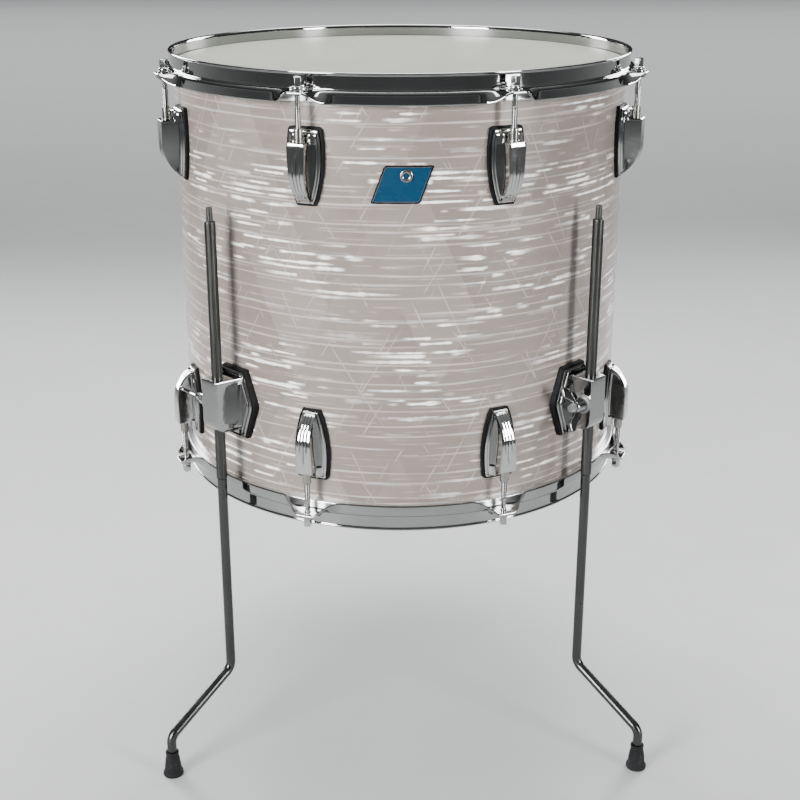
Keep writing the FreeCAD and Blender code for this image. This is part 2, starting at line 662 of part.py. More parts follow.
def long_hole(target, radius, length):
    """A circle drawn out by a length along Y, its first centre at the origin."""
    far = f"{length} + {radius}"
    return outline(target, [
        (radius, length, radius), ("0", far, radius), (f"-1 * {radius}", length),
        (f"-1 * {radius}", "0", radius), ("0", f"-1 * {radius}", radius), (radius, "0"),
    ])


def make_eyebolt(label, azimuth):
    """Eyebolt round the leg. Its eye is long towards the stud, so that a slack clamp lets the leg go."""
    bolt = body(label)
    slack = "eye_slack"
    eye = long_hole(sketch(bolt, "eye_outline", "XZ_Plane"), "eye_radius", slack)
    pad(bolt, eye, "2 * eye_half", "eye", midplane=True)
    root = sketch(bolt, "stud_section", offset=f"eye_radius + {slack} - 2.5")
    stud = circle(root, "0", "0", "stud_radius")
    pad(bolt, stud, f"stud_end - eye_radius - {slack} + 2.5", "stud")
    hole = long_hole(sketch(bolt, "eye_hole_outline", "XZ_Plane"), "eye_hole", slack)
    pocket(bolt, hole, "4 * eye_half", "eye_hole", midplane=True)
    return keep(bolt, clamp_place(azimuth))


def make_clamp_washer():
    washer = body("clamp_washer_master")
    bore = "stud_radius + stud_clearance"
    top = "block_half + clamp_washer_skin"
    revolve(washer, [
        (bore, "block_half"), ("clamp_washer_radius", "block_half"), ("clamp_washer_radius", top),
        (bore, top),
    ])
    return washer


def make_wing_nut(label, azimuth, turn):
    """Wing nut on the eyebolt: a tapered hub and two wings that sweep away to clear the bracket's plate."""
    nut = body(label)
    base = "block_half + clamp_washer_skin + nut_gap"
    top = f"{base} + hub_length"
    tip = "block_half + wing_tip_rise"
    revolve(nut, [
        ("stud_radius + stud_thread_gap", base), ("hub_radius", base), ("hub_radius", f"{base} + 3"),
        ("hub_radius - 1.4", top), ("stud_radius + stud_thread_gap", top),
    ])
    for side in ("1", "-1"):
        wing = outline(sketch(nut, "wing_outline", "XZ_Plane"), [
            (f"{side} * ( hub_radius - wing_root_inset )", f"{base} + 2"),
            (f"{side} * wing_heel", f"{base} + wing_heel_rise"),
            (f"{side} * wing_knee", f"{base} + wing_knee_rise"),
            (f"{side} * wing_reach", f"{base} + wing_lobe_rise"),
            (f"{side} * wing_reach", f"{tip} - 3"), (f"{side} * ( wing_reach - 3 )", tip),
            (f"{side} * ( wing_reach - 8 )", tip),
            (f"{side} * ( hub_radius - wing_root_inset )", f"{top} - 1"),
        ])
        pad(nut, wing, "wing_skin", "wing", midplane=True)
    rest = Placement(Vector(), Rotation(Vector(0, 0, 1), turn))
    return keep(nut, clamp_place(azimuth).multiply(rest))


# --- legs and feet ---------------------------------------------------------------------------------------
def on_ring(azimuth, radius, z):
    """A placement at a radius from the drum's axis whose local X points away from it, with Z up."""
    a = math.radians(azimuth)
    outward = Vector(math.sin(a), -math.cos(a), 0)
    return Placement(AXIS + outward * radius + Vector(0, 0, z), Rotation(Vector(0, 0, 1), azimuth - 90))


def leg_route():
    """The bent part of a leg as straight runs joined by tangent arcs, X outward from the straight part."""
    points = [
        Vector(0, size("shell_lift") + size("shell_depth") / 2 - size("leg_step_below_centre"), 0),
        Vector(0, size("leg_bend_height"), 0),
        Vector(size("leg_splay"), size("foot_bend_height"), 0),
        Vector(size("leg_splay"), size("foot_sole"), 0),
    ]
    radius = size("leg_bend_radius")
    pieces = []
    start = points[0]
    for before, corner, after in zip(points, points[1:], points[2:]):
        back = (before - corner).normalize()
        ahead = (after - corner).normalize()
        half_turn = (math.pi - back.getAngle(ahead)) / 2
        cut = radius * math.tan(half_turn)
        arc_start, arc_end = corner + back * cut, corner + ahead * cut
        inward = (back + ahead).normalize()
        arc_middle = corner + inward * (radius / math.cos(half_turn) - radius)
        pieces.append(Part.LineSegment(start, arc_start))
        pieces.append(Part.Arc(arc_start, arc_middle, arc_end))
        start = arc_end
    pieces.append(Part.LineSegment(start, points[-1]))
    return pieces


def make_leg(label, azimuth):
    """Leg: a knurled straight, a plain lower part with two bends, and a thin end to hold it by."""
    leg = body(label)
    route = sketch(leg, "route", "XZ_Plane")
    for piece in leg_route():
        route.addGeometry(piece)
    step = "shell_lift + shell_depth / 2 - leg_step_below_centre"
    shoulder = "shell_lift + shell_depth / 2 + leg_top_above_centre - leg_tip_length"
    section = circle(sketch(leg, "section", offset=step), "0", "0", "leg_lower_radius")
    bent = leg.newObject("PartDesign::AdditivePipe", "bent_part")
    bent.Profile = section
    bent.Spine = route
    doc.recompute()
    straight = circle(sketch(leg, "straight_section", offset=step), "0", "0", "leg_radius")
    pad(leg, straight, f"{shoulder} - ( {step} )", "straight")
    tip = circle(sketch(leg, "tip_section", offset=f"{shoulder} - 1"), "0", "0", "leg_tip_radius")
    pad(leg, tip, "leg_tip_length + 1", "tip")
    return keep(leg, on_ring(azimuth, SURFACE + size("leg_offset"), 0))


def make_foot(label, azimuth):
    """Rubber foot: a flared cup pushed on to the end of the leg."""
    foot = body(label)
    socket = "leg_lower_radius + 0.01"
    revolve(foot, [
        ("0", "0"), ("foot_base_radius - 1.2", "0"), ("foot_base_radius", "1.2"),
        ("foot_base_radius", "3.5"), ("foot_base_radius - 1.6", "6"), ("foot_top_radius", "foot_height - 1"),
        ("foot_top_radius - 1", "foot_height"), (socket, "foot_height"), (socket, "foot_sole"),
        ("0", "foot_sole"),
    ])
    return keep(foot, on_ring(azimuth, SURFACE + size("leg_offset") + size("leg_splay"), 0))


# --- badge and vent --------------------------------------------------------------------------------------
def make_badge():
    """Blank slanted name plate, bent to the shell, with a hole for the vent."""
    badge = body("badge")
    low = "badge_low - vent_rise"
    high = "badge_high - vent_rise"
    plate = outline(sketch(badge, "plan", offset="-3"), [
        ("-1 * badge_low_left + 1.5", low), ("badge_width - badge_low_left - badge_corner", low),
        ("badge_width - badge_low_left", f"{low} + badge_corner / 2"),
        ("badge_width - badge_high_left", f"{high} - 1.5"), ("badge_width - badge_high_left - 1", high),
        ("badge_corner - badge_high_left", high), ("0 - badge_high_left", f"{high} - badge_corner / 2"),
        ("-1 * badge_low_left", f"{low} + 1.5"),
    ])
    pad(badge, plate, "6", "plate")
    hollow_back(badge, "shell_curve")
    outer = sketch(badge, "front_curve", "XZ_Plane")
    circle(outer, "0", "-1 * shell_radius - wrap_skin", "shell_radius + wrap_skin + badge_skin")
    circle(outer, "0", "-1 * shell_radius - wrap_skin", "shell_radius + 40")
    pocket(badge, outer, "2 * badge_high", "front", midplane=True)
    hole = circle(sketch(badge, "vent_hole", offset="5"), "0", "0", "vent_radius + cover_gap")
    pocket(badge, hole, "10", "vent")
    return keep(badge, on_shell(0, CENTRE_Z + size("vent_rise")))


def make_vent():
    """Vent grommet through badge, covering and shell: a flange outside and a rolled lip inside."""
    vent = body("vent_grommet")
    inside = "-1 * shell_wall - wrap_skin - inside_gap"
    front = "badge_skin + cover_gap"
    top = f"{front} + vent_flange_skin"
    revolve(vent, [
        ("vent_bore", f"{inside} - 1.2"), ("vent_flange - 0.6", f"{inside} - 1.2"),
        ("vent_flange - 0.6", inside), ("vent_radius", inside), ("vent_radius", front),
        ("vent_flange", front), ("vent_flange", f"{top} - 0.8"), ("vent_flange - 1.2", top),
        ("vent_bore + 0.8", top), ("vent_bore", f"{top} - 0.8"),
    ])
    return keep(vent, on_shell(0, CENTRE_Z + size("vent_rise")))


# --- putting the drum together ---------------------------------------------------------------------------
def make_head_end(side):
    """One end of the drum: head, hoop, rods, washers, lugs and what is in the lugs."""
    upside_down = side == "resonant"
    edge = BOTTOM_EDGE if upside_down else TOP_EDGE
    out = -1 if upside_down else 1
    make_head(side, on_axis(edge, upside_down=upside_down))
    make_hoop(side, on_axis(edge, LUG_AZIMUTHS[0] - 90, upside_down))
    ear_top = size("hoop_sheet") - size("flesh_top")
    flip = Placement(Vector(), Rotation(Vector(1, 0, 0), 180 if upside_down else 0))
    washer_places = []
    for place, azimuth in enumerate(LUG_AZIMUTHS, start=1):
        at_ear = on_ring(azimuth, size("rod_circle"), edge + out * ear_top).multiply(flip)
        washer_places.append(at_ear)
        under_collar = at_ear.multiply(Placement(Vector(0, 0, size("rod_washer_skin")), Rotation()))
        make_rod(f"{side}_tension_rod_{place}", under_collar)
    group(f"{side}_rod_washers", rod_washer, washer_places)
    frames = lug_places(side)
    group(f"{side}_lugs", lug, frames)
    group(f"{side}_lug_gaskets", lug_gasket, frames)
    nut_frame = Placement(
        Vector(0, 0, size("rod_circle") - SURFACE), Rotation(Vector(1, 0, 0), -90)
    )
    nut_frames = [frame.multiply(nut_frame) for frame in frames]
    group(f"{side}_swivel_nuts", swivel_nut, nut_frames)
    return nut_frames


shell_drills = make_drills()
make_shell(shell_drills)
make_wrap(shell_drills)

rod_washer = make_rod_washer()
lug = make_lug_casting()
lug_gasket = make_lug_gasket()
swivel_nut = make_swivel_nut()
nut_frames = make_head_end("batter") + make_head_end("resonant")
group("nut_retainers", make_retainer(), nut_frames)

screw = make_screw()
washer = make_washer()
group("lug_screws", screw, lug_screw_places())
group("lug_washers", washer, lug_screw_places())
group("bracket_screws", screw, bracket_screw_places())
group("bracket_washers", washer, bracket_screw_places())

bracket_frames = [bracket_place(azimuth) for azimuth in LEG_AZIMUTHS.values()]
group("leg_bracket_gaskets", make_bracket_gasket(), bracket_frames)
group("clamp_washers", make_clamp_washer(), [clamp_place(azimuth) for azimuth in LEG_AZIMUTHS.values()])
for place, azimuth in LEG_AZIMUTHS.items():
    make_bracket(f"leg_bracket_{place}", azimuth)
    make_eyebolt(f"eyebolt_{place}", azimuth)
    make_wing_nut(f"wing_nut_{place}", azimuth, WING_TURNS[place])
    make_leg(f"leg_{place}", azimuth)
    make_foot(f"rubber_foot_{place}", azimuth)

make_badge()
make_vent()

doc.recompute()
for thing in doc.Objects:
    if "Invalid" in thing.State or "Error" in thing.State:
        raise RuntimeError(f"{thing.Label} failed: {thing.State}")
os.makedirs("parts", exist_ok=True)
for piece in exports:
    if piece.Shape.isNull() or not piece.Shape.isValid():
        raise RuntimeError(f"{piece.Label} has no valid shape")
    piece.Shape.exportStep(f"parts/{piece.Label}.step")
print(len(exports), "pieces written")
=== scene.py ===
"""Looks for the floor tom: what the eye sees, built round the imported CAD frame.

The CAD nodes hold every place and size. A new piece is drawn in a small frame of its own, in millimetres,
and set down at the place that the frame gives. Azimuths are degrees from the front (-Y) towards +X.
"""
import json
import random
from math import atan2, cos, degrees, exp, pi, radians, sin, sqrt, tan

import bmesh
import bpy
from mathutils import Matrix, Vector


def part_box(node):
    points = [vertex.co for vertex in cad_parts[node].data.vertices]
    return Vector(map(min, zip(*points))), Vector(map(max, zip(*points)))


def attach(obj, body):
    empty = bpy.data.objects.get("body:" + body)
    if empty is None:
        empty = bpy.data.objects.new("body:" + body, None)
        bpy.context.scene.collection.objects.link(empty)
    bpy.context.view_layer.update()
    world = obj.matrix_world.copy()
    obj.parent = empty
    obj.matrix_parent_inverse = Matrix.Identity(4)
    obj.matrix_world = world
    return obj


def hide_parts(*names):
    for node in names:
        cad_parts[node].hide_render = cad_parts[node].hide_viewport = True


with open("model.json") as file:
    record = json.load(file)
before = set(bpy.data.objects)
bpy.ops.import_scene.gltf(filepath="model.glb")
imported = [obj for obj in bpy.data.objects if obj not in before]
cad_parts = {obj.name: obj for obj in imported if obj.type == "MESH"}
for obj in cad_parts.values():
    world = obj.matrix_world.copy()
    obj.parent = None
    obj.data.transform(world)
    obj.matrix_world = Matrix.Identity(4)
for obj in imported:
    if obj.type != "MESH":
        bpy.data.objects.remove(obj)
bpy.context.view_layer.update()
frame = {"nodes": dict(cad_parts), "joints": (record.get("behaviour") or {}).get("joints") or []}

MM = 0.001
SIDES = ("batter", "resonant")
PLACES = ("left", "right", "rear")


# --- places, read from the frame ---
def joint(name):
    return next(j for j in frame["joints"] if j["name"] == name)


wrap_low, wrap_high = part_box("pearl_wrap")
shell_low, shell_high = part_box("shell")
AXIS = Vector((0, (wrap_low.y + wrap_high.y) / 2, 0)) / MM
SURFACE = (wrap_high.x - wrap_low.x) / 2 / MM
TOP_EDGE = shell_high.z / MM
BOTTOM_EDGE = shell_low.z / MM
CENTRE_Z = (TOP_EDGE + BOTTOM_EDGE) / 2


def azimuth_of(point):
    return degrees(atan2(point[0], AXIS.y * MM - point[1]))


def outward(azimuth):
    a = radians(azimuth)
    return Vector((sin(a), -cos(a), 0))


ROD_JOINTS = {side: [joint(f"{side}_rod_{i}_turn") for i in range(1, 9)] for side in SIDES}
LUG_AZIMUTHS = [azimuth_of(j["pos_m"]) for j in ROD_JOINTS["batter"]]
ROD_CIRCLE = (Vector(ROD_JOINTS["batter"][0]["pos_m"][:2]) / MM - AXIS.xy).length
CLAMPS = {place: joint(f"wing_nut_{place}_turn") for place in PLACES}
LEG_AZIMUTHS = {place: azimuth_of(j["pos_m"]) for place, j in CLAMPS.items()}
LEG_CIRCLE = (Vector(CLAMPS["rear"]["pos_m"][:2]) / MM - AXIS.xy).length
CLAMP_Z = CLAMPS["rear"]["pos_m"][2] / MM


def frame_matrix(x, y, z, origin):
    """A matrix in metres from a frame drawn in millimetres."""
    columns = Matrix((x, y, z)).transposed().to_4x4()
    return Matrix.Translation(origin * MM) @ columns @ Matrix.Scale(MM, 4)


def around_drum(azimuth, radius, z, upside_down):
    """The way out from the drum's axis, the way up (or down), and a point, for a frame on the drum."""
    out = outward(azimuth)
    return out, Vector((0, 0, -1 if upside_down else 1)), AXIS + out * radius + Vector((0, 0, z))


def on_shell(azimuth, z, upside_down=False):
    """A frame on the covering: X runs round the drum, Y up (or down), and Z away from the drum's axis."""
    out, up, origin = around_drum(azimuth, SURFACE, z, upside_down)
    return frame_matrix(up.cross(out), up, out, origin)


def on_ring(azimuth, radius, z, upside_down=False):
    """A frame at a radius from the drum's axis: X away from the axis, Z up (or down)."""
    out, up, origin = around_drum(azimuth, radius, z, upside_down)
    return frame_matrix(out, up.cross(out), up, origin)


def lying(height):
    """A frame in the shell's own, at a height off it: Z runs up the drum."""
    return frame_matrix(Vector((1, 0, 0)), Vector((0, 0, -1)), Vector((0, 1, 0)), Vector((0, 0, height)))


def smooth(t):
    t = min(1.0, max(0.0, t))
    return t * t * (3 - 2 * t)


def quarter(steps):
    """The angles of a quarter turn, in equal steps."""
    return [pi / 2 * k / steps for k in range(steps + 1)]


def turned(r, angle):
    return (r * cos(angle), r * sin(angle))


# --- drawing in the plane ---
def rounded(corners, steps):
    """A polyline through (x, y) corners. A corner given as (x, y, radius) is rounded off."""
    points = []
    count = len(corners)
    for i, corner in enumerate(corners):
        here = Vector(corner[:2])
        if len(corner) == 2:
            points.append(here)
            continue
        back = Vector(corners[i - 1][:2]) - here
        ahead = Vector(corners[(i + 1) % count][:2]) - here
        half = back.angle(ahead) / 2
        cut = min(corner[2] / tan(half), 0.49 * back.length, 0.49 * ahead.length)
        radius = cut * tan(half)
        bisector = (back.normalized() + ahead.normalized()).normalized()
        centre = here + bisector * (radius / sin(half))
        first = here + back.normalized() * cut - centre
        last = here + ahead.normalized() * cut - centre
        turn = first.angle_signed(last)
        for k in range(steps + 1):
            swung = first.copy()
            swung.rotate(Matrix.Rotation(-turn * k / steps, 2))
            points.append(centre + swung)
    return points


def inset(points, distance):
    """A closed convex outline, run anticlockwise, drawn in by a distance."""
    moved = []
    count = len(points)
    for i, here in enumerate(points):
        before = (here - points[i - 1]).normalized()
        after = (points[(i + 1) % count] - here).normalized()
        left_before = Vector((-before.y, before.x))
        left_after = Vector((-after.y, after.x))
        mean = (left_before + left_after).normalized()
        moved.append(here + mean * distance / max(0.4, mean.dot(left_after)))
    return moved


# --- drawing in space ---
class Shape:
    """Vertices and faces in the drawing of one piece. A face also names its material by number."""

    def __init__(self):
        self.points = []
        self.faces = []
        self.kinds = []

    def add(self, points, faces, kind=0):
        start = len(self.points)
        self.points += [Vector(p) for p in points]
        self.faces += [[start + i for i in face] for face in faces]
        self.kinds += [kind] * len(faces)
        return self

    def rings(self, rings, caps=True, round_trip=False, kind=0):
        """Skins a list of closed rings that each have as many points."""
        across = len(rings[0])
        points = [p for ring in rings for p in ring]
        faces = []
        for i in range(len(rings) - (0 if round_trip else 1)):
            low, high = i * across, (i + 1) % len(rings) * across
            for j in range(across):
                k = (j + 1) % across
                faces.append([low + j, low + k, high + k, high + j])
        if caps and not round_trip:
            faces.append(list(range(across))[::-1])
            faces.append([(len(rings) - 1) * across + j for j in range(across)])
        return self.add(points, faces, kind)

    def lathe(self, profile, segments, closed=False):
        """Turns an (r, z) profile about Z. A profile that ends on the axis closes there."""
        rings = []
        for r, z in profile:
            rings.append([(*turned(r, 2 * pi * j / segments), z) for j in range(segments)])
        return self.rings(rings, caps=False, round_trip=closed)

    def moved(self, move):
        """A copy of the drawing, each point moved by a function."""
        copy = Shape()
        copy.points = [move(p) for p in self.points]
        copy.faces, copy.kinds = self.faces, self.kinds
        return copy

    def placed(self, matrix):
        return self.moved(lambda p: matrix @ p)

    def join(self, other):
        start = len(self.points)
        self.points += other.points
        self.faces += [[start + i for i in face] for face in other.faces]
        self.kinds += other.kinds
        return self


SEAM = 2e-6
SLIVER = 1e-7


def clean_mesh(name, shape):
    """A mesh of a drawing, its seams closed and its faces turned outward."""
    mesh = bpy.data.meshes.new(name)
    mesh.from_pydata([tuple(p) for p in shape.points], [], shape.faces)
    for polygon, kind in zip(mesh.polygons, shape.kinds):
        polygon.material_index = kind
    drawing = bmesh.new()
    drawing.from_mesh(mesh)
    bmesh.ops.remove_doubles(drawing, verts=drawing.verts, dist=SEAM)
    bmesh.ops.dissolve_degenerate(drawing, edges=drawing.edges, dist=SLIVER)
    bmesh.ops.recalc_face_normals(drawing, faces=drawing.faces)
    drawing.to_mesh(mesh)
    drawing.free()
    return mesh


def add_object(name, data):
    made = bpy.data.objects.new(name, data)
    bpy.context.scene.collection.objects.link(made)
    return made


def mounted(name, mesh, materials, body, nodes, sharp):
    """Makes a mesh into a piece that rides on a body and stands for nodes of the frame."""
    for material in materials:
        mesh.materials.append(material)
    mesh.shade_smooth()
    mesh.set_sharp_from_angle(angle=radians(sharp))
    made = add_object(name, mesh)
    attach(made, body)
    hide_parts(*nodes)
    return made


def repeated(drawing, places):
    """One drawing of a part that is set down at several places."""
    whole = Shape()
    for place in places:
        whole.join(drawing.placed(place))
    return whole


def piece(name, shape, materials, body, nodes, sharp=32):
    """Makes a drawing, already placed in the shared frame, into a piece."""
    made = mounted(name, clean_mesh(name, shape), materials, body, nodes, sharp)
    even_shading(made)
    return made


LARGE_FACE_WEIGHT = 90


def even_shading(made):
    """Lets the large faces set the shading, so that a flat stays flat beside a small rounding."""
    modifier = made.modifiers.new("even_shading", "WEIGHTED_NORMAL")
    modifier.keep_sharp = True
    modifier.weight = LARGE_FACE_WEIGHT


# --- materials ---
class Paint:
    """A material under construction: a Principled shader and the nodes that feed it."""

    def __init__(self, name, **sockets):
        self.material = bpy.data.materials.new(name)
        self.material.use_nodes = True
        self.tree = self.material.node_tree
        self.shader = self.tree.nodes["Principled BSDF"]
        for socket, value in sockets.items():
            self.shader.inputs[socket.replace("_", " ")].default_value = value

    def node(self, kind, inputs=(), **settings):
        """A node of a kind. An input is given a socket to link to, or a constant."""
        made = self.tree.nodes.new("ShaderNode" + kind)
        for key, value in settings.items():
            setattr(made, key, value)
        for key, value in dict(inputs).items():
            if isinstance(value, bpy.types.NodeSocket):
                self.tree.links.new(value, made.inputs[key])
            else:
                made.inputs[key].default_value = value
        return made

    def sum(self, operation, a, b=0.0, c=0.0, clamp=False):
        return self.node("Math", {0: a, 1: b, 2: c}, operation=operation, use_clamp=clamp).outputs[0]

    def times(self, a, b, clamp=False):
        return self.sum("MULTIPLY", a, b, clamp=clamp)

    def step(self, value, low, high, to_low=0.0, to_high=1.0):
        """A smooth step of a value from low to high."""
        inputs = {"Value": value, "From Min": low, "From Max": high, "To Min": to_low, "To Max": to_high}
        return self.node("MapRange", inputs, interpolation_type="SMOOTHSTEP").outputs[0]

    def where(self):
        return self.node("TexCoord").outputs["Object"]

    def join(self, x, y, z=0.0):
        return self.node("CombineXYZ", {"X": x, "Y": y, "Z": z}).outputs[0]

    def noise(self, vector, scale, detail=2.0, roughness=0.5):
        """Noise at a place. A scale for each axis stretches it."""
        if isinstance(scale, tuple):
            vector, scale = self.node("Mapping", {"Vector": vector, "Scale": scale}).outputs[0], 1.0
        inputs = {"Vector": vector, "Scale": scale, "Detail": detail, "Roughness": roughness}
        return self.node("TexNoise", inputs).outputs["Fac"]

    def random(self, vector):
        return self.node("TexWhiteNoise", {"Vector": vector}, noise_dimensions="3D").outputs["Value"]

    def mix(self, factor, a, b):
        """A mix of two colours, each a socket or a constant (red, green, blue)."""
        a, b = ((*c, 1) if isinstance(c, tuple) else c for c in (a, b))
        return self.node("Mix", {0: factor, 6: a, 7: b}, data_type="RGBA").outputs[2]

    def finished(self, color, roughness, height, strength, distance):
        """Feeds the shader its colour, its roughness and a bump, and gives the material."""
        bump = self.node("Bump", {"Height": height, "Strength": strength, "Distance": distance * MM})
        fed = {"Base Color": color, "Roughness": roughness, "Normal": bump.outputs[0]}
        for socket, value in fed.items():
            if value is not None:
                self.tree.links.new(value, self.shader.inputs[socket])
        return self.material


def shade(color, factor, lift=0.0):
    return tuple(c * factor + lift for c in color)


def plated(name, color, roughness, spread=0.05, ripple=0.02, grain=(60, 60, 60), wear=0.08):
    """Bright plating: smudges in the roughness, a faint ripple, and a slightly duller tone in places."""
    paint = Paint(name, Metallic=1.0)
    here = paint.where()
    smudge = paint.noise(here, grain, 4.0, 0.6)
    gloss = paint.step(smudge, 0.3, 0.75, roughness, roughness + spread)
    tone = paint.mix(paint.step(paint.noise(here, 25.0, 3.0), 0.4, 0.7), color, shade(color, 1 - wear))
    return paint.finished(tone, gloss, paint.noise(here, 130.0), ripple, 0.15)


def knurled(name, color):
    """Straight-knurled steel: fine streaks along the leg, with painted shade darkening the valleys, and
    rubbed patches.
    """
    paint = Paint(name, Metallic=1.0)
    here = paint.where()
    streak = paint.noise(here, (900, 900, 14), 4.0, 0.6)
    patch = paint.noise(here, (70, 70, 16), 3.0)
    # Painted shade: where the streaks run low, in the bump's valleys, the tone is painted darker.
    tone = paint.mix(paint.step(streak, 0.35, 0.65), shade(color, 0.62), color)
    gloss = paint.step(paint.sum("ADD", streak, patch), 0.6, 1.4, 0.26, 0.46)
    return paint.finished(tone, gloss, streak, 0.35, 0.12)


def rubber(name, color):
    """Moulded black rubber with a fine satin skin and dusty patches."""
    paint = Paint(name, Specular_IOR_Level=0.12)
    here = paint.where()
    dust = paint.step(paint.noise(here, 55.0, 4.0, 0.65), 0.5, 0.85)
    tone = paint.mix(dust, color, shade(color, 2.0, 0.002))
    gloss = paint.step(paint.noise(here, 140.0, 3.0), 0.3, 0.7, 0.47, 0.69)
    return paint.finished(tone, gloss, paint.noise(here, 1600.0), 0.25, 0.05)


def plain_plastic(name, color):
    paint = Paint(name)
    here = paint.where()
    tone = paint.mix(paint.noise(here, 40.0, 3.0), color, shade(color, 0.88))
    gloss = paint.step(paint.noise(here, 90.0), 0.3, 0.7, 0.39, 0.53)
    return paint.finished(tone, gloss, paint.noise(here, 900.0), 0.15, 0.05)


def coated_film(name):
    """White coated drum film: sprayed texture and a soft cloudiness."""
    paint = Paint(name)
    here = paint.where()
    cloud = paint.step(paint.noise(here, 9.0, 4.0, 0.55), 0.3, 0.7)
    spray = paint.noise(here, 1100.0, 3.0, 0.7)
    tone = paint.mix(cloud, (0.258, 0.270, 0.232), (0.284, 0.296, 0.257))
    return paint.finished(tone, paint.step(spray, 0.3, 0.7, 0.42, 0.62), spray, 0.5, 0.08)


def maple_ply(name):
    """Clear-lacquered maple: long grain round the shell."""
    paint = Paint(name, Roughness=0.38)
    here = paint.where()
    grain = paint.noise(here, (9, 9, 260), 5.0, 0.6)
    figure = paint.noise(here, (4, 4, 22), 3.0)
    tone = paint.mix(paint.step(grain, 0.3, 0.75), (0.62, 0.42, 0.25), (0.72, 0.53, 0.34))
    tone = paint.mix(paint.step(figure, 0.45, 0.8, 0.0, 0.5), tone, (0.56, 0.36, 0.20))
    return paint.finished(tone, None, grain, 0.12, 0.1)


class Pearl(Paint):
    """Streaked pearl sheet. Its map holds real lengths in metres: U round the drum and V up it."""

    def __init__(self, name):
        super().__init__(name, Coat_Weight=0.7, Coat_Roughness=0.06, Specular_IOR_Level=0.5)
        spots = self.node("UVMap", uv_map="sheet").outputs[0]
        self.u, self.v = self.node("SeparateXYZ", {"Vector": spots}).outputs[:2]

    def slanted(self, turn):
        """Lengths along and across a line that leans away from V by an angle in degrees."""
        a = radians(turn)
        along = self.sum("ADD", self.times(self.u, sin(a)), self.times(self.v, cos(a)))
        across = self.sum("ADD", self.times(self.u, cos(a)), self.times(self.v, -sin(a)))
        return along, across

    def rows(self, along, across, spacing, width, cover, length, seed, wander=0.12):
        """Thin lines along one direction, one to a row, each broken into stretches of its own."""
        drift = self.noise(self.join(self.times(along, 9.0), self.times(across, 30.0), seed), 1.0)
        drift = self.sum("SUBTRACT", drift, 0.5)
        row_of = self.sum("MULTIPLY_ADD", drift, wander * 4, self.sum("DIVIDE", across, spacing))
        row = self.sum("FLOOR", row_of)
        place = self.step(self.random(self.join(row, seed)), 0.0, 1.0, 0.2, 0.8)
        gap = self.sum("ABSOLUTE", self.sum("SUBTRACT", self.sum("FRACT", row_of), place))
        gap = self.times(gap, spacing)
        start = self.times(self.random(self.join(row, seed + 5.0)), 37.0)
        stretch = self.sum("ADD", self.sum("DIVIDE", along, length), start)
        presence = self.noise(self.join(stretch, self.times(row, 3.7), seed), 1.0, 1.0)
        level = 0.5 + (0.5 - cover) * 0.4
        shown = self.step(presence, level, level + 0.08)
        swell = self.noise(self.join(self.times(stretch, 2.6), row, seed + 9.0), 1.0)
        swell = self.step(swell, 0.3, 0.8, 0.45, 1.0)
        line = self.step(self.sum("DIVIDE", gap, self.times(swell, width)), 0.5, 1.5, 1.0, 0.0)
        return self.times(line, self.times(shown, swell))

    def strongest(self, *masks):
        top = masks[0]
        for mask in masks[1:]:
            top = self.sum("MAXIMUM", top, mask)
        return top


CRACK_LEANS = (27.0, -24.0, 31.0, -33.0)
FACET_WIDTH = 0.062


def pearl_sheet(name, base, bright):
    """Pinkish white pearl: long level streaks, short slanting cracks, patches of painted sheen and a glossy
    coat. The sheen is bright bands painted white into the colour, standing in for glints of the lamps on the
    pearl.
    """
    pearl = Pearl(name)
    u, v = pearl.u, pearl.v
    # Patches where the painted sheen shows.
    sheen_patches = pearl.noise(pearl.join(pearl.times(u, 7.0), pearl.times(v, 16.0), 3.1), 1.0)
    fine = pearl.rows(u, v, 0.0080, 0.0010, 0.55, 0.050, 1.0)
    long_lines = pearl.rows(u, v, 0.0120, 0.0012, 0.84, 0.170, 2.0)
    # The next two rows are bands of painted sheen: bright streaks that stand in for glints of light on the
    # pearl.
    sheen_bands = pearl.rows(u, v, 0.0085, 0.0014, 0.52, 0.036, 4.0)
    broad_sheen_bands = pearl.rows(u, v, 0.0130, 0.0022, 0.48, 0.048, 7.0)
    leans = [pearl.slanted(turn) for turn in CRACK_LEANS]
    cracks = [pearl.rows(*lean, 0.038, 0.0008, 0.42, 0.045, seed, wander=0.01)
              for lean, seed in zip(leans, (11.0, 13.0, 17.0, 19.0))]
    facets = [pearl.sum("FLOOR", pearl.sum("DIVIDE", across, FACET_WIDTH)) for _, across in leans[:2]]
    facet = pearl.random(pearl.join(*facets, 2.0))
    cloud = pearl.noise(pearl.join(pearl.times(u, 16.0), pearl.times(v, 120.0)), 1.0, 4.0, 0.6)
    tone = pearl.mix(pearl.step(cloud, 0.25, 0.75), shade(base, 0.93), shade(base, 1.08))
    tone = pearl.mix(pearl.step(facet, 0.0, 1.0, 0.0, 0.06), tone, bright)
    # Painted sheen: its bands within their patches, painted toward white in the colour.
    painted_sheen = pearl.times(pearl.strongest(sheen_bands, broad_sheen_bands), pearl.step(sheen_patches, 0.42, 0.62))
    slanted = pearl.times(pearl.strongest(*cracks), 0.22)
    # The mix toward white carries the sheet's real streaks and cracks, and also the painted sheen.
    streaks_and_painted_sheen = pearl.strongest(pearl.times(fine, 0.15), pearl.times(long_lines, 0.30), slanted,
                           pearl.times(painted_sheen, 1.9, clamp=True))
    gloss = pearl.step(streaks_and_painted_sheen, 0.0, 1.0, 0.34, 0.22)
    return pearl.finished(pearl.mix(streaks_and_painted_sheen, tone, bright), gloss, painted_sheen, 0.8, 0.3)


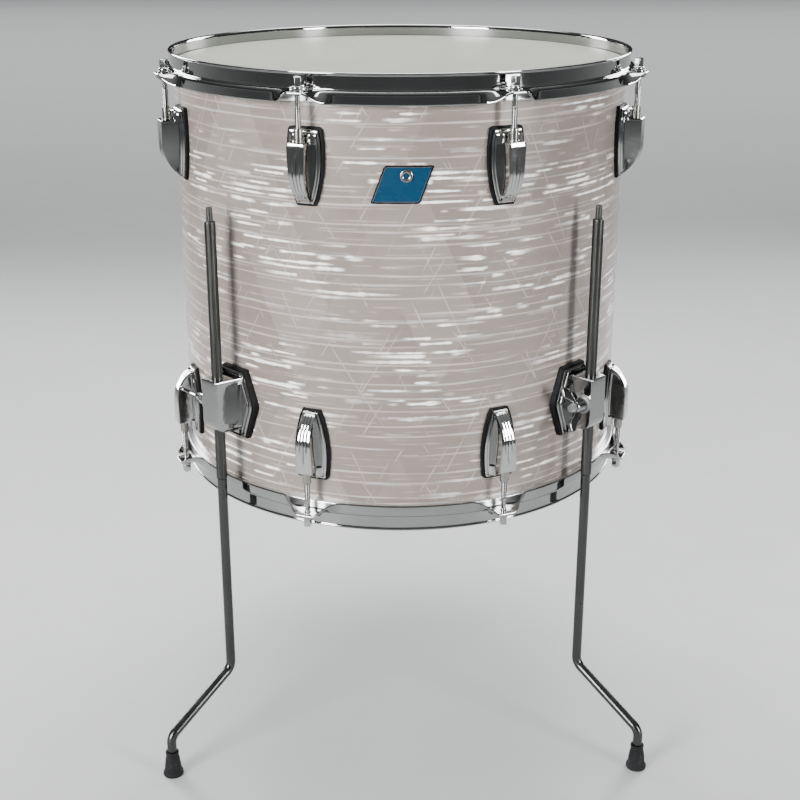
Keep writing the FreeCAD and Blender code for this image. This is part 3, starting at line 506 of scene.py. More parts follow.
def enamel(name, color, coat):
    """Baked enamel on a metal plate, with a brushed undertone."""
    paint = Paint(name, Specular_IOR_Level=0.2, Coat_Weight=coat, Coat_Roughness=0.08)
    here = paint.where()
    brush = paint.noise(here, (1400, 1400, 60))
    tone = paint.mix(brush, color, shade(color, 1.12, 0.004))
    gloss = paint.step(paint.noise(here, 120.0), 0.3, 0.7, 0.22, 0.34)
    return paint.finished(tone, gloss, brush, 0.05, 0.05)


def floor_paint(name):
    """Pale studio floor with a barely visible mottle."""
    paint = Paint(name)
    here = paint.where()
    tone = paint.mix(paint.noise(here, 3.0, 4.0), (0.365, 0.37, 0.375), (0.39, 0.395, 0.40))
    gloss = paint.step(paint.noise(here, 14.0, 4.0), 0.3, 0.7, 0.62, 0.78)
    return paint.finished(tone, gloss, paint.noise(here, 350.0, 3.0), 0.08, 0.2)


CHROME = plated("hoop_chrome", (0.34, 0.345, 0.34), 0.03, ripple=0.12)
CAST_CHROME = plated("casting_chrome", (0.48, 0.485, 0.475), 0.04, spread=0.06, ripple=0.40)
# The bracket's and wing nuts' chrome: the castings' plating painted darker, as painted shade standing in for
# dark reflections on the bracket's faces.
CAST_CHROME_PAINTED_DARK = plated("cast_chrome_painted_dark", (0.33, 0.335, 0.33), 0.04, spread=0.06, ripple=0.40)
ROD_CHROME = plated("rod_chrome", (0.42, 0.425, 0.42), 0.10, spread=0.08)
NUT_STEEL = plated("nut_steel", (0.33, 0.325, 0.30), 0.20, spread=0.1, wear=0.2)
ZINC = plated("zinc_steel", (0.45, 0.455, 0.46), 0.30, spread=0.14, wear=0.25)
ALUMINIUM = plated("flesh_aluminium", (0.70, 0.705, 0.71), 0.26, spread=0.1, grain=(12, 12, 500))
LEG_KNURL = knurled("leg_knurl", (0.085, 0.087, 0.083))
LEG_PLAIN = plated("leg_plain", (0.070, 0.073, 0.070), 0.20, spread=0.1, wear=0.12)
GASKET = rubber("gasket_rubber", (0.0045, 0.0045, 0.005))
FOOT_RUBBER = rubber("foot_rubber", (0.010, 0.010, 0.011))
FILM = coated_film("head_film")
# The pearl's pale colour is its streaks' own colour and also the colour of its painted sheen.
PEARL = pearl_sheet("pearl", (0.182, 0.149, 0.129), (1.0, 0.985, 0.965))
MAPLE = maple_ply("shell_maple")
NYLON = plain_plastic("nylon", (0.80, 0.78, 0.70))
PLATE_EDGE = enamel("plate_edge", (0.005, 0.005, 0.006), 0.15)
PLATE_FIELD = enamel("plate_field", (0.003, 0.030, 0.066), 0.3)
PLATE_LINE = plated("plate_line", (0.80, 0.80, 0.80), 0.18)


# --- shell and covering ---
LAP_AZIMUTH = 193.0
LAP_STEP = 0.4
LAP_RUN = 12.0
WRAP_SKIN = 0.75
WRAP_EDGE = 0.25
WRAP_COLUMNS, WRAP_ROWS = 360, 6


def make_wrap():
    """The covering: a rolled sheet whose ends lap at the back, mapped in real lengths for its pattern."""
    low, high = wrap_low.z / MM, wrap_high.z / MM
    inner, outer, upright = SURFACE - WRAP_SKIN, SURFACE - WRAP_EDGE, high - low - 2 * WRAP_EDGE
    heights = [low + WRAP_EDGE + upright * k / WRAP_ROWS for k in range(WRAP_ROWS + 1)]
    profile = [(inner, low, 0), (outer, low, 1)] + [(SURFACE, z, 1) for z in heights]
    profile += [(outer, high, 1), (inner, high, 0)]
    drawing = bmesh.new()
    sheet_map = drawing.loops.layers.uv.new("sheet")
    rings = []
    for j in range(WRAP_COLUMNS + 1):
        angle = 360.0 * j / WRAP_COLUMNS
        sunk = LAP_STEP * (1 - smooth(angle / LAP_RUN))
        out = outward(LAP_AZIMUTH + angle)
        ring = []
        for r, z, sinks in profile:
            place = AXIS + out * (r - sunk * sinks)
            ring.append(drawing.verts.new((place.x * MM, place.y * MM, z * MM)))
        rings.append(ring)
    arc = 2 * pi * SURFACE * MM / WRAP_COLUMNS
    for j, ring in enumerate(rings):
        after = rings[(j + 1) % len(rings)]
        for k in range(len(profile)):
            m = (k + 1) % len(profile)
            face = drawing.faces.new((ring[k], after[k], after[m], ring[m]))
            for loop, (turn, point) in zip(face.loops, ((j, k), (j + 1, k), (j + 1, m), (j, m))):
                loop[sheet_map].uv = (arc * turn, profile[point][1] * MM)
    bmesh.ops.remove_doubles(drawing, verts=drawing.verts, dist=SEAM)
    bmesh.ops.recalc_face_normals(drawing, faces=drawing.faces)
    mesh = bpy.data.meshes.new("pearl_covering")
    drawing.to_mesh(mesh)
    drawing.free()
    mounted("pearl_covering", mesh, [PEARL], "drum", ["pearl_wrap"], 40)


def make_shell():
    """Ply shell with rounded-over bearing edges, hollow inside."""
    wall, round_over, crest, reach = 6.0, 1.7, 1.4, 4.2
    outer = SURFACE - WRAP_SKIN - 0.05
    peak = outer - round_over
    edge = [(outer - round_over * sin(a) ** 2 - 0.001, TOP_EDGE - reach * (1 - sin(a)))
            for a in quarter(6)]
    edge += [(peak - 0.4, TOP_EDGE), (peak - crest, TOP_EDGE - 0.7), (outer - wall, TOP_EDGE - reach)]
    section = edge + [(r, 2 * CENTRE_Z - z) for r, z in reversed(edge)]
    shell = Shape().lathe(section, 256, closed=True)
    upright = frame_matrix(Vector((1, 0, 0)), Vector((0, 1, 0)), Vector((0, 0, 1)), AXIS)
    piece("ply_shell", shell.placed(upright), [MAPLE], "drum", ["shell"])


# --- heads and hoops, drawn from the bearing edge ---
EDGE_OF = {"batter": (TOP_EDGE, False), "resonant": (BOTTOM_EDGE, True)}
SHEET = 2.3
RIM_MIDDLE = 231.25
RIM_TOP = 11.45
RIM_LIP, RIM_LIP_RISE = 1.15, 2.6
FLANGE_MIDDLE = -4.05
FLANGE_BEND, SKIRT_BEND = 2.2, 2.4
SKIRT_BEND_START = 234.15
SKIRT_LENGTH = 11.4
EAR_LENGTH = 18.3
EAR_FLAT_HALF = 6.5
EAR_FOOT_HALF = 33.0
LUG_PITCH = 45


def hoop_section(level):
    """The hoop's section at a place round it; level is 1 at an ear and 0 where the skirt hangs."""
    path = [(RIM_MIDDLE + RIM_LIP - RIM_LIP * sin(a), RIM_TOP - RIM_LIP_RISE + RIM_LIP_RISE * cos(a))
            for a in quarter(6)]
    path += [(RIM_MIDDLE, 5.0), (RIM_MIDDLE, 1.0)]
    path += [(RIM_MIDDLE + FLANGE_BEND * (1 - cos(a)), FLANGE_MIDDLE + FLANGE_BEND - FLANGE_BEND * sin(a))
             for a in quarter(5)]
    swing = pi / 2 * (1 - level)
    length = SKIRT_LENGTH + (EAR_LENGTH - SKIRT_LENGTH) * level ** 2
    bend = SKIRT_BEND * pi / 2
    r, z, steps = SKIRT_BEND_START, FLANGE_MIDDLE, 13
    path.append((r, z))
    for k in range(1, steps + 1):
        before, here = length * (k - 1) / steps, length * k / steps
        turn = swing * smooth((before + here) / 2 / bend)
        r += (here - before) * cos(turn)
        z -= (here - before) * sin(turn)
        path.append((r, z))
    return around(path, SHEET / 2)


ROUND_END_STEPS = 5


def around(path, half):
    """The closed outline of a strip along an open path, with half-round ends."""
    path = [Vector(p) for p in path]
    sides = []
    for i, here in enumerate(path):
        along = (path[min(i + 1, len(path) - 1)] - path[max(i - 1, 0)]).normalized()
        sides.append(Vector((-along.y, along.x)) * half)
    loop = [p + s for p, s in zip(path, sides)]
    for side, end in ((sides[-1], path[-1]), (-sides[0], path[0])):
        for k in range(1, ROUND_END_STEPS):
            swung = side.copy()
            swung.rotate(Matrix.Rotation(-pi * k / ROUND_END_STEPS, 2))
            loop.append(end + swung)
        if end is path[-1]:
            loop += [p - s for p, s in zip(reversed(path), reversed(sides))]
    return loop


def hoop_turns():
    """Each lug's azimuth with the angles drawn after it, in degrees, closer together at its ear."""
    near = degrees(EAR_FOOT_HALF / ROD_CIRCLE) * 1.08
    fine, coarse = 44, 22
    turns = [-near + 2 * near * k / fine for k in range(fine)]
    turns += [near + (LUG_PITCH - 2 * near) * k / coarse for k in range(coarse)]
    return [(azimuth, turn) for azimuth in LUG_AZIMUTHS for turn in turns]


def make_hoop(side):
    """Triple-flange hoop: lipped rim, flange, and a skirt that swings up to a level ear at each lug."""
    rings = []
    for azimuth, turn in hoop_turns():
        span = min(abs(turn), LUG_PITCH - turn if turn > 0 else LUG_PITCH)
        along = radians(span) * ROD_CIRCLE
        level = 1 - smooth((along - EAR_FLAT_HALF) / (EAR_FOOT_HALF - EAR_FLAT_HALF))
        out = outward(azimuth + turn)
        rings.append([(out.x * r, out.y * r, z) for r, z in hoop_section(level)])
    shape = mirrored(Shape().rings(rings, round_trip=True), *EDGE_OF[side])
    made = piece(f"{side}_hoop_steel", shape, [CHROME], f"{side}_hoop",
                 [f"{side}_hoop"], sharp=50)
    cut(made, repeated(cylinder(3.3, -9, 0, 24), rod_places(side)))


def rod_places(side):
    """A frame on each rod's axis, at the level of the bearing edge."""
    return [on_ring(azimuth, ROD_CIRCLE, *EDGE_OF[side]) for azimuth in LUG_AZIMUTHS]


def cylinder(radius, low, high, segments):
    """A plain cylinder along Z."""
    return Shape().lathe([(0, low), (radius, low), (radius, high), (0, high)], segments)


def mirrored(shape, z, upside_down):
    """A drawing made round the axis from the bearing edge, set at its height; mirrored if upside down."""
    flip = -1 if upside_down else 1
    return shape.moved(lambda p: Vector((AXIS.x + p[0], AXIS.y + p[1], z + flip * p[2])) * MM)


def cut(made, cutter_shape):
    """Cuts a closed drawing out of a piece."""
    cutter = add_object("cutter", clean_mesh("cutter", cutter_shape))
    made.modifiers.clear()
    modifier = made.modifiers.new("cut", "BOOLEAN")
    modifier.object = cutter
    modifier.operation = "DIFFERENCE"
    modifier.solver = "EXACT"
    scene_graph = bpy.context.evaluated_depsgraph_get()
    result = bpy.data.meshes.new_from_object(made.evaluated_get(scene_graph))
    made.modifiers.clear()
    made.data = result
    bpy.data.objects.remove(cutter)
    even_shading(made)


def join_mesh(made, shape, sharp):
    """Adds a drawing to a finished piece."""
    added = clean_mesh("added", shape)
    added.shade_smooth()
    added.set_sharp_from_angle(angle=radians(sharp))
    drawing = bmesh.new()
    drawing.from_mesh(made.data)
    drawing.from_mesh(added)
    drawing.to_mesh(made.data)
    drawing.free()


def make_head(side):
    """Coated film pressed over the bearing edge, its collar gripped by an aluminium flesh hoop."""
    collar, skin, flat, bend, wide, deep = SURFACE + 0.1, 0.3, 222, 227.4, 2.05, 2.6
    film = [(0, skin), (150, skin), (flat, skin)]
    film += [(bend + (wide + skin) * sin(a), (deep + skin) * cos(a) - deep) for a in quarter(8)]
    film += [(collar + skin, -10.0), (collar, -10.0), (collar, -2.7)]
    film += [(bend + wide * sin(a), deep * cos(a) - deep) for a in reversed(quarter(8))]
    film += [(flat, 0), (0, 0)]
    film = mirrored(Shape().lathe(film, 288), *EDGE_OF[side])
    piece(f"{side}_head", film, [FILM], "drum", [f"{side}_head_film"])
    low, high, inner, outer = -13.7, -5.2, collar + skin, 235.0
    hoop = rounded([(inner, low), (outer, low, 1.2), (outer, high, 1.2), (inner, high)], 5)
    ring = mirrored(Shape().lathe([tuple(p) for p in hoop], 256, closed=True), *EDGE_OF[side])
    piece(f"{side}_flesh_ring", ring, [ALUMINIUM], "drum", [f"{side}_flesh_hoop"])


# --- tension rods ---
def thread(radius, pitch, low, high, depth, around_steps=16):
    """A screw thread on a closed core, from low to high along Z."""
    core = radius - depth
    root = core - 0.02
    shape = cylinder(core, low, high, around_steps)
    count = (int((high - low) / pitch) - 1) * around_steps
    points = []
    for j in range(count + 1):
        x, y = turned(1, 2 * pi * j / around_steps)
        z = low + pitch * j / around_steps
        crest = root + depth * min(1.0, j / around_steps, (count - j) / around_steps)
        for r, rise in ((root, 0.0), (crest, 0.40), (crest, 0.60), (root, 1.0)):
            points.append((x * r, y * r, z + pitch * rise))
    faces = []
    for j in range(count):
        a, b = 4 * j, 4 * j + 4
        faces += [[a + k, b + k, b + k + 1, a + k + 1] for k in range(3)]
        faces.append([a + 3, b + 3, b, a])
    faces.append([0, 1, 2, 3])
    faces.append([4 * count + k for k in (3, 2, 1, 0)])
    return shape.add(points, faces)


def rounded_square(half, corner):
    return rounded([(x * half, y * half, corner) for x, y in ((-1, -1), (1, -1), (1, 1), (-1, 1))], 4)


def layer(points, z):
    return [(p[0], p[1], z) for p in points]


def rod_drawing():
    """Key rod from its collar's underside at -1.4: square head, domed collar, plain neck and thread."""
    collar, foot, key_square = -1.4, -67.4, 6.35
    section = [(0, 3.1), (3.6, 3.1), (4.3, 2.9), (4.9, 2.3), (5.2, 1.5), (5.15, 0.6), (4.85, 0), (2.35, 0),
               (2.35, -15.5), (0, -15.5)]
    shape = Shape().lathe([(r, collar + z) for r, z in section], 28)
    key = [(0.25, 1.5), (0, 2.0), (0, 8.6), (0.22, 9.15), (0.75, 9.5), (1.6, 9.6)]
    shape.rings([layer(rounded_square(key_square / 2 - inward, 0.7 - min(0.3, inward * 0.3)), z)
                 for inward, z in key])
    return shape.join(thread(2.75, 1.0583, foot, collar - 14.6, 0.42))


def washer_drawing(inner, outer, low, skin):
    edge = 0.25
    section = [(inner, low), (outer - edge, low), (outer, low + edge), (outer, low + skin - edge)]
    section += [(outer - edge, low + skin), (inner + edge, low + skin), (inner, low + skin - edge)]
    return Shape().lathe(section, 32, closed=True)


def make_rods(side):
    rod = rod_drawing()
    places = rod_places(side)
    for i, (place, key_turn) in enumerate(zip(places, key_turns[side]), start=1):
        turn = Matrix.Rotation(radians(key_turn), 4, "Z")
        piece(f"{side}_key_rod_{i}", rod.placed(place @ turn), [ROD_CHROME], f"{side}_rod_{i}",
              [f"{side}_tension_rod_{i}"])
    piece(f"{side}_rod_washer_set", repeated(washer_drawing(2.85, 6.6, -2.9, 1.5), places), [ROD_CHROME],
          f"{side}_hoop", [f"{side}_rod_washers"])


dice = random.Random(18)
key_turns = {side: [dice.uniform(0, 90) for _ in LUG_AZIMUTHS] for side in SIDES}


# --- tension lugs ---
gasket_low, gasket_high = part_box("batter_lug_gaskets")
LUG_HEIGHT = (gasket_high.z - gasket_low.z) / MM
LUG_START = gasket_low.z / MM - CENTRE_Z
LUG_SKIN = 3.0
NUT_AXIS = ROD_CIRCLE - SURFACE
RIB_START, RIB_END, RIB_DEPTH, RIB_FLAT = 5.0, 59.0, 23.4, 34.0
RIB_ARC = 36.0
LUG_WIDEST, LUG_TAPER, LUG_TAPER_POWER = 18, 8.3, 1.9
LUG_CROWN, LUG_CROWN_TAPER = 26, 2.2


def lug_half(y):
    """Half the width of the gasket's outline at a height along the lug."""
    crown = LUG_HEIGHT - LUG_CROWN
    if y < crown:
        return LUG_WIDEST - LUG_TAPER * ((crown - y) / crown) ** LUG_TAPER_POWER
    return LUG_WIDEST - LUG_CROWN_TAPER * ((y - crown) / LUG_CROWN) ** 2


def lug_outline(distance):
    """The lug's plan drawn in by a distance, anticlockwise from the narrow end."""
    steps, corner, foot = 14, 2.6, 1.4
    half, top, shoulder = lug_half(0.0), lug_half(LUG_HEIGHT), LUG_HEIGHT - corner
    full = [(half - foot, 0.0), (half - 0.4, 0.4), (half, foot)]
    heights = [foot + (shoulder - foot) * k / steps for k in range(1, steps + 1)]
    full += [(lug_half(y), y) for y in heights]
    full += [(top - corner + corner * cos(a), shoulder + (corner - 0.35) * sin(a))
             for a in quarter(4)[1:]]
    full.append((top * 0.45, LUG_HEIGHT - 0.05))
    mirror = [(-x, y) for x, y in reversed(full)]
    return inset([Vector(p) for p in full + mirror], distance)


def shell_drop(x):
    """How far the covered shell falls away below its own tangent plane at a distance x to the side."""
    return sqrt(SURFACE * SURFACE - x * x) - SURFACE


def gasket_drawing(outline_at, skin, edge=0.7):
    """Moulded gasket whose back follows the shell and whose front edge is rounded."""
    back = [(p.x, p.y, shell_drop(p.x) + 0.03) for p in outline_at(0)]
    rings = [back, layer(outline_at(0), skin - edge), layer(outline_at(edge * 0.3), skin - edge * 0.3),
             layer(outline_at(edge), skin)]
    return Shape().rings(rings)


def rib_depth(y):
    """Depth of the rib's front face at a height along the lug: flat, then an arc down to the narrow end."""
    if y >= RIB_FLAT:
        return RIB_DEPTH
    return RIB_DEPTH - RIB_ARC + sqrt(RIB_ARC ** 2 - (RIB_FLAT - y) ** 2)


def rib_ring(y, top, shrink=0.0):
    """Section of the rib at a height: flared foot, upright sides, bevelled front edges and three grooves."""
    run = smooth((y - RIB_START) / (RIB_END - RIB_START))
    half = 6.6 + 2.2 * run - shrink
    bevel = 1.1
    floor = LUG_SKIN + 0.2
    flare = min(2.4, max(0.0, (top - floor - 2) * 0.3))
    pitch = half * 0.44
    width = half * 0.13
    centre_depth = 1.0 * smooth((RIB_END - 7 - y) / 8)
    side_depth = 1.0 * smooth((RIB_END - 17 - y) / 10)
    right = [(half + flare, floor), (half + flare * 0.45, floor + flare * 0.8)]
    right += [(half, floor + flare * 2.2), (half, top - bevel)]
    right += [(half - bevel * 0.3, top - bevel * 0.3), (half - bevel, top)]
    right += [(pitch + width, top), (pitch, top - side_depth), (pitch - width, top)]
    right += [(width, top), (0, top - centre_depth)]
    left = [(-x, z) for x, z in reversed(right[:-1])]
    return [(x, y, z) for x, z in right + left]


def casting_drawing():
    """Die-cast lug on its gasket: bevelled stepped plate, deep curved rib and rounded shoulders."""
    plate = [(2.4, 0), (2.4, 1.5), (2.7, 2.0), (3.3, 2.35), (4.3, 2.45), (4.35, 3.3), (4.7, 3.9),
             (5.3, 4.2)]
    shape = Shape().rings([layer(lug_outline(distance), LUG_SKIN + z) for distance, z in plate])
    heights = [RIB_START + (RIB_FLAT - RIB_START) * (k / 14) ** 1.15 for k in range(15)]
    heights += [38, 42, 46, 50, 54, 57.4]
    rings = [rib_ring(RIB_START - 0.5, rib_depth(RIB_START) - 0.9, 0.5)]
    rings += [rib_ring(y, rib_depth(y)) for y in heights]
    rings += [rib_ring(58.4, RIB_DEPTH - 0.35, 0.3), rib_ring(RIB_END, RIB_DEPTH - 1.2, 1.1)]
    shape.rings(rings)
    for side in (-1, 1):
        shape.join(hump_drawing(side))
    return shape


def hump_drawing(side):
    """Rounded shoulder beside the swivel nut, at the wide end."""
    near, far, low, high = 1.5, 12.4, 56.0, 67.0
    rings = []
    for k in range(9):
        t = k / 8
        x = near + (far - near) * t
        fall = max(0.0, (t - 0.62) / 0.38)
        top = 10.6 - 3.0 * fall ** 2
        dish = 1.5 * exp(-(x / 4.0) ** 2)
        front = high - 1.6 * fall ** 2
        corners = [(low, LUG_SKIN + 1), (front, LUG_SKIN + 1), (front, top - dish, 3.0), (low, top - dish)]
        rings.append([(side * x, p.x, p.y) for p in rounded(corners, 6)])
    return Shape().rings(rings)


def nut_drawing():
    """Swivel nut's nose, in the lug's frame: a chamfered tube round the rod, and a collar at the mouth."""
    section = [(2.85, 52), (5.6, 52), (5.6, 58.5), (5.2, 59.2), (4.25, 59.3), (4.2, 69.6), (3.9, 70.3),
               (3.5, 70.5), (3.0, 70.5), (2.85, 70.2)]
    return Shape().lathe(section, 28, closed=True).placed(Matrix.Scale(1 / MM, 4) @ lying(NUT_AXIS))


def make_lugs(side):
    parts = {
        "lug_castings": (casting_drawing(), CAST_CHROME, "lugs", "casting_chrome"),
        "lug_pads": (gasket_drawing(lug_outline, LUG_SKIN), GASKET, "lug_gaskets", "gasket_rubber"),
        "nut_noses": (nut_drawing(), NUT_STEEL, "swivel_nuts", "nut_steel"),
    }
    upside_down = EDGE_OF[side][1]
    start = CENTRE_Z - LUG_START if upside_down else CENTRE_Z + LUG_START
    places = [on_shell(azimuth, start, upside_down) for azimuth in LUG_AZIMUTHS]
    for name, (drawing, material, node, slot) in parts.items():
        whole = repeated(drawing, places)
        piece(f"{side}_{name}", whole, [material], "drum", [f"{side}_{node}"], sharp=24)


# --- leg brackets ---
bracket_low, bracket_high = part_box("leg_bracket_gaskets")
BRACKET_HEIGHT = (bracket_high.z - bracket_low.z) / MM
BRACKET_Z = (bracket_high.z + bracket_low.z) / 2 / MM
BRACKET_SKIN = 4.2
BLOCK_HALF, BLOCK_LOW, BLOCK_HIGH, BLOCK_DEPTH, BLOCK_SWEEP = 11.5, -24.0, 29.0, 35.5, 11.0
BLOCK_FOOT_HALF, BLOCK_NOSE_HALF = 16.5, 10.4
LEG_OFFSET = LEG_CIRCLE - SURFACE
CLAMP_RISE = CLAMP_Z - BRACKET_Z


def bracket_outline(distance):
    """The bracket's plan: a tall hexagon with soft corners, drawn in by a distance."""
    end, narrow, wide = BRACKET_HEIGHT / 2, 17.0, 29.9
    right = [(narrow, -end, 2.2), (wide, 0, 14), (narrow, end, 2.2)]
    left = [(-x, y, r) for x, y, r in right]
    return inset(rounded([left[0], *right, left[2], left[1]], 6), distance)


def block_ring(y, depth, shrink=0.0):
    """Section of the bracket's block at a height: upright on the wing nut's side, splayed on the other."""
    front, base, round_off = depth - shrink, BRACKET_SKIN + 1, 1.8
    corners = [(shrink - BLOCK_HALF, base), (BLOCK_FOOT_HALF - shrink, base),
               (BLOCK_NOSE_HALF - shrink, front, round_off), (shrink - BLOCK_HALF, front, round_off)]
    return [(p.x, y, p.y) for p in rounded(corners, 7)]


def block_drawing():
    """The block that holds the leg: bevelled top, rounded front edges, and a front that sweeps in below."""
    rings = []
    for a in quarter(10):
        sunk = BLOCK_SWEEP * (1 - sin(a))
        edge = 0.0 if a else 0.8
        rings.append(block_ring(BLOCK_LOW + BLOCK_SWEEP * (1 - cos(a)), BLOCK_DEPTH - sunk, edge))
    rings += [block_ring(y, BLOCK_DEPTH) for y in (-6, 4, 14, 22, BLOCK_HIGH - 1.6)]
    rings.append(block_ring(BLOCK_HIGH - 0.5, BLOCK_DEPTH, 0.35))
    rings.append(block_ring(BLOCK_HIGH, BLOCK_DEPTH, 1.2))
    return Shape().rings(rings)


def make_bracket(place):
    """Cast bracket: stepped hexagonal plate and the bored block."""
    frame_of = on_shell(LEG_AZIMUTHS[place], BRACKET_Z)
    plate = [(2.4, 0), (2.4, 1.8), (2.8, 2.4), (3.5, 2.75), (4.8, 2.85), (4.85, 4.2), (5.2, 4.9),
             (5.9, 5.2)]
    shape = Shape().rings([layer(bracket_outline(distance), BRACKET_SKIN + z) for distance, z in plate])
    made = piece(f"bracket_casting_{place}", block_drawing().placed(frame_of), [CAST_CHROME_PAINTED_DARK], "drum",
                 [f"leg_bracket_{place}"], sharp=24)
    bore = cylinder(5.75, -60, 60, 48)
    cut(made, bore.placed(frame_of @ Matrix.Scale(1 / MM, 4) @ lying(LEG_OFFSET)))
    reach, half, front = 10.4, 6.3, LEG_OFFSET + 8.4
    low, high = CLAMP_RISE - half, CLAMP_RISE + half
    box = [layer([(-reach, low), (reach, low), (reach, high), (-reach, high)], z) for z in (-9, front)]
    cut(made, Shape().rings(box).placed(frame_of))
    cut(made, cylinder(4.3, 5, 20, 32).placed(clamp_place(place)))
    join_mesh(made, shape.placed(frame_of), sharp=24)


def make_bracket_pads():
    places = [on_shell(LEG_AZIMUTHS[place], BRACKET_Z) for place in PLACES]
    pads = repeated(gasket_drawing(bracket_outline, BRACKET_SKIN, 0.9), places)
    piece("bracket_pads", pads, [GASKET], "drum", ["leg_bracket_gaskets"], sharp=24)


# --- leg clamps ---
def clamp_place(place):
    """The clamp's frame: Z along the eyebolt towards its wing nut, Y up, the origin on the leg's axis."""
    out, up, origin = around_drum(LEG_AZIMUTHS[place], LEG_CIRCLE, CLAMP_Z, False)
    return frame_matrix(out, up, -up.cross(out), origin)


def long_ring(radius, length, y, steps=24):
    """A ring in the XZ plane: a circle drawn out along +Z."""
    points = []
    for k in range(steps):
        a = 2 * pi * (k + 0.5) / steps
        points.append((radius * cos(a), y, radius * sin(a) + (length if sin(a) > 0 else 0)))
    return points


def make_eyebolt(place):
    """Eyebolt: an eye drawn out towards its stud, and a cut thread with a bevelled end."""
    eye, hole, half, slack, stud, end = 8.0, 5.3, 5.6, 1.95, 3.9, 31.0
    section = [(eye - 0.5, -half), (eye, 0.5 - half), (eye, half - 0.5), (eye - 0.5, half)]
    section += [(hole + 0.4, half), (hole, half - 0.4), (hole, 0.4 - half), (hole + 0.4, -half)]
    shape = Shape().rings([long_ring(radius, slack, y) for radius, y in section], round_trip=True)
    shape.join(thread(stud, 1.25, eye + slack - 0.6, end - 0.3, 0.5, 20))
    shape.join(Shape().lathe([(0, end - 0.6), (stud - 0.6, end - 0.6), (stud - 1.1, end), (0, end)], 20))
    piece(f"clamp_eyebolt_{place}", shape.placed(clamp_place(place)), [ZINC], f"eyebolt_{place}",
          [f"eyebolt_{place}"], sharp=40)


WING_TURNS = {"left": 35.0, "right": -72.0, "rear": -20.0}


def make_wing_nut(place):
    """Cast wing nut: domed hub and two thick swept wings."""
    base, tip, skin = BLOCK_HALF + 1.85, BLOCK_HALF + 26.0, 3.6
    section = [(3.96, 0), (6.9, 0), (7.2, 0.3), (7.2, 2.4), (6.9, 3.0), (6.3, 6), (6.0, 9), (5.8, 10.4),
               (5.3, 11.5), (4.7, 12.0), (3.96, 12.0)]
    shape = Shape().lathe([(r, base + z) for r, z in section], 36, closed=True)
    wing = [(4.6, base + 1.6, 0.5), (13.4, base + 7.0, 4), (16.0, base + 13.2, 4), (22.0, base + 18.2, 3),
            (22.0, tip - 0.4, 4.5), (13.0, tip, 4.5), (4.6, base + 11.8, 0.5)]
    plan = rounded(wing, 6)
    layers = [(1.1, -skin / 2), (0.3, 0.35 - skin / 2), (0, 1.0 - skin / 2)]
    layers += [(inward, -y) for inward, y in reversed(layers)]
    for side in (1, -1):
        shape.rings([[(side * p.x, y * side, p.y) for p in inset(plan, inward)] for inward, y in layers])
    turn = Matrix.Rotation(radians(WING_TURNS[place]), 4, "Z")
    piece(f"clamp_wing_nut_{place}", shape.placed(clamp_place(place) @ turn), [CAST_CHROME_PAINTED_DARK],
          f"wing_nut_{place}", [f"wing_nut_{place}"], sharp=30)


def make_clamp_washers():
    washers = repeated(washer_drawing(4.1, 9.5, BLOCK_HALF, 1.8), [clamp_place(place) for place in PLACES])
    piece("clamp_washer_set", washers, [ZINC], "drum", ["clamp_washers"])


# --- legs and feet ---
LEG_STEP = CENTRE_Z - 182.2
LEG_TIP_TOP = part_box("leg_rear")[1].z / MM
LEG_SHOULDER = LEG_TIP_TOP - 13.0
BEND_Z, SPLAY, FOOT_BEND_Z, BEND_RADIUS, SOLE = 88.9, 80.0, 43.6, 12.0, 5.0


def leg_route():
    """Centre line of the leg's lower part in the plane of its bends, (outward, up), arcs in small steps."""
    bends = [(0, BEND_Z, BEND_RADIUS), (SPLAY, FOOT_BEND_Z, BEND_RADIUS)]
    return rounded([(0, LEG_STEP), *bends, (SPLAY, SOLE)], 12)


def swept(route, radius, segments=28):
    """Rings round a route in the XZ plane."""
    rings = []
    for i, here in enumerate(route):
        along = (route[min(i + 1, len(route) - 1)] - route[max(i - 1, 0)]).normalized()
        side = Vector((-along.y, along.x))
        ring = []
        for j in range(segments):
            a = 2 * pi * j / segments
            flat = here + side * radius * cos(a)
            ring.append((flat.x, radius * sin(a), flat.y))
        rings.append(ring)
    return rings


def fluted_ring(radius, depth, z, flutes):
    """A ring whose radius is less at every other point."""
    return [(*turned(radius - depth * (k % 2), pi * k / flutes), z) for k in range(2 * flutes)]


def make_leg(place):
    """Leg: a straight-knurled length with bevelled ends, a plain lower part with two bends, a thin end."""
    radius, lower, tip = 5.25, 4.8, 3.0
    shape = Shape().rings(swept(leg_route(), lower), kind=1)
    levels = [(0.9, LEG_STEP), (0.0, LEG_STEP + 0.9)]
    levels += [(0.0, LEG_STEP + 0.9 + (LEG_SHOULDER - LEG_STEP - 2.4) * k / 12) for k in range(1, 13)]
    levels += [(0.6, LEG_SHOULDER - 0.5), (1.2, LEG_SHOULDER)]
    shape.rings([fluted_ring(radius - shrink, 0.22, z, 32) for shrink, z in levels])
    ends = [(0.0, LEG_SHOULDER - 0.5), (0.0, LEG_TIP_TOP - 1.0)]
    ends += [(0.35, LEG_TIP_TOP - 0.35), (1.1, LEG_TIP_TOP)]
    shape.rings([fluted_ring(tip - shrink, 0.2, z, 18) for shrink, z in ends])
    frame_of = on_ring(LEG_AZIMUTHS[place], LEG_CIRCLE, 0)
    piece(f"leg_rod_{place}", shape.placed(frame_of), [LEG_KNURL, LEG_PLAIN], f"leg_{place}",
          [f"leg_{place}"], sharp=60)


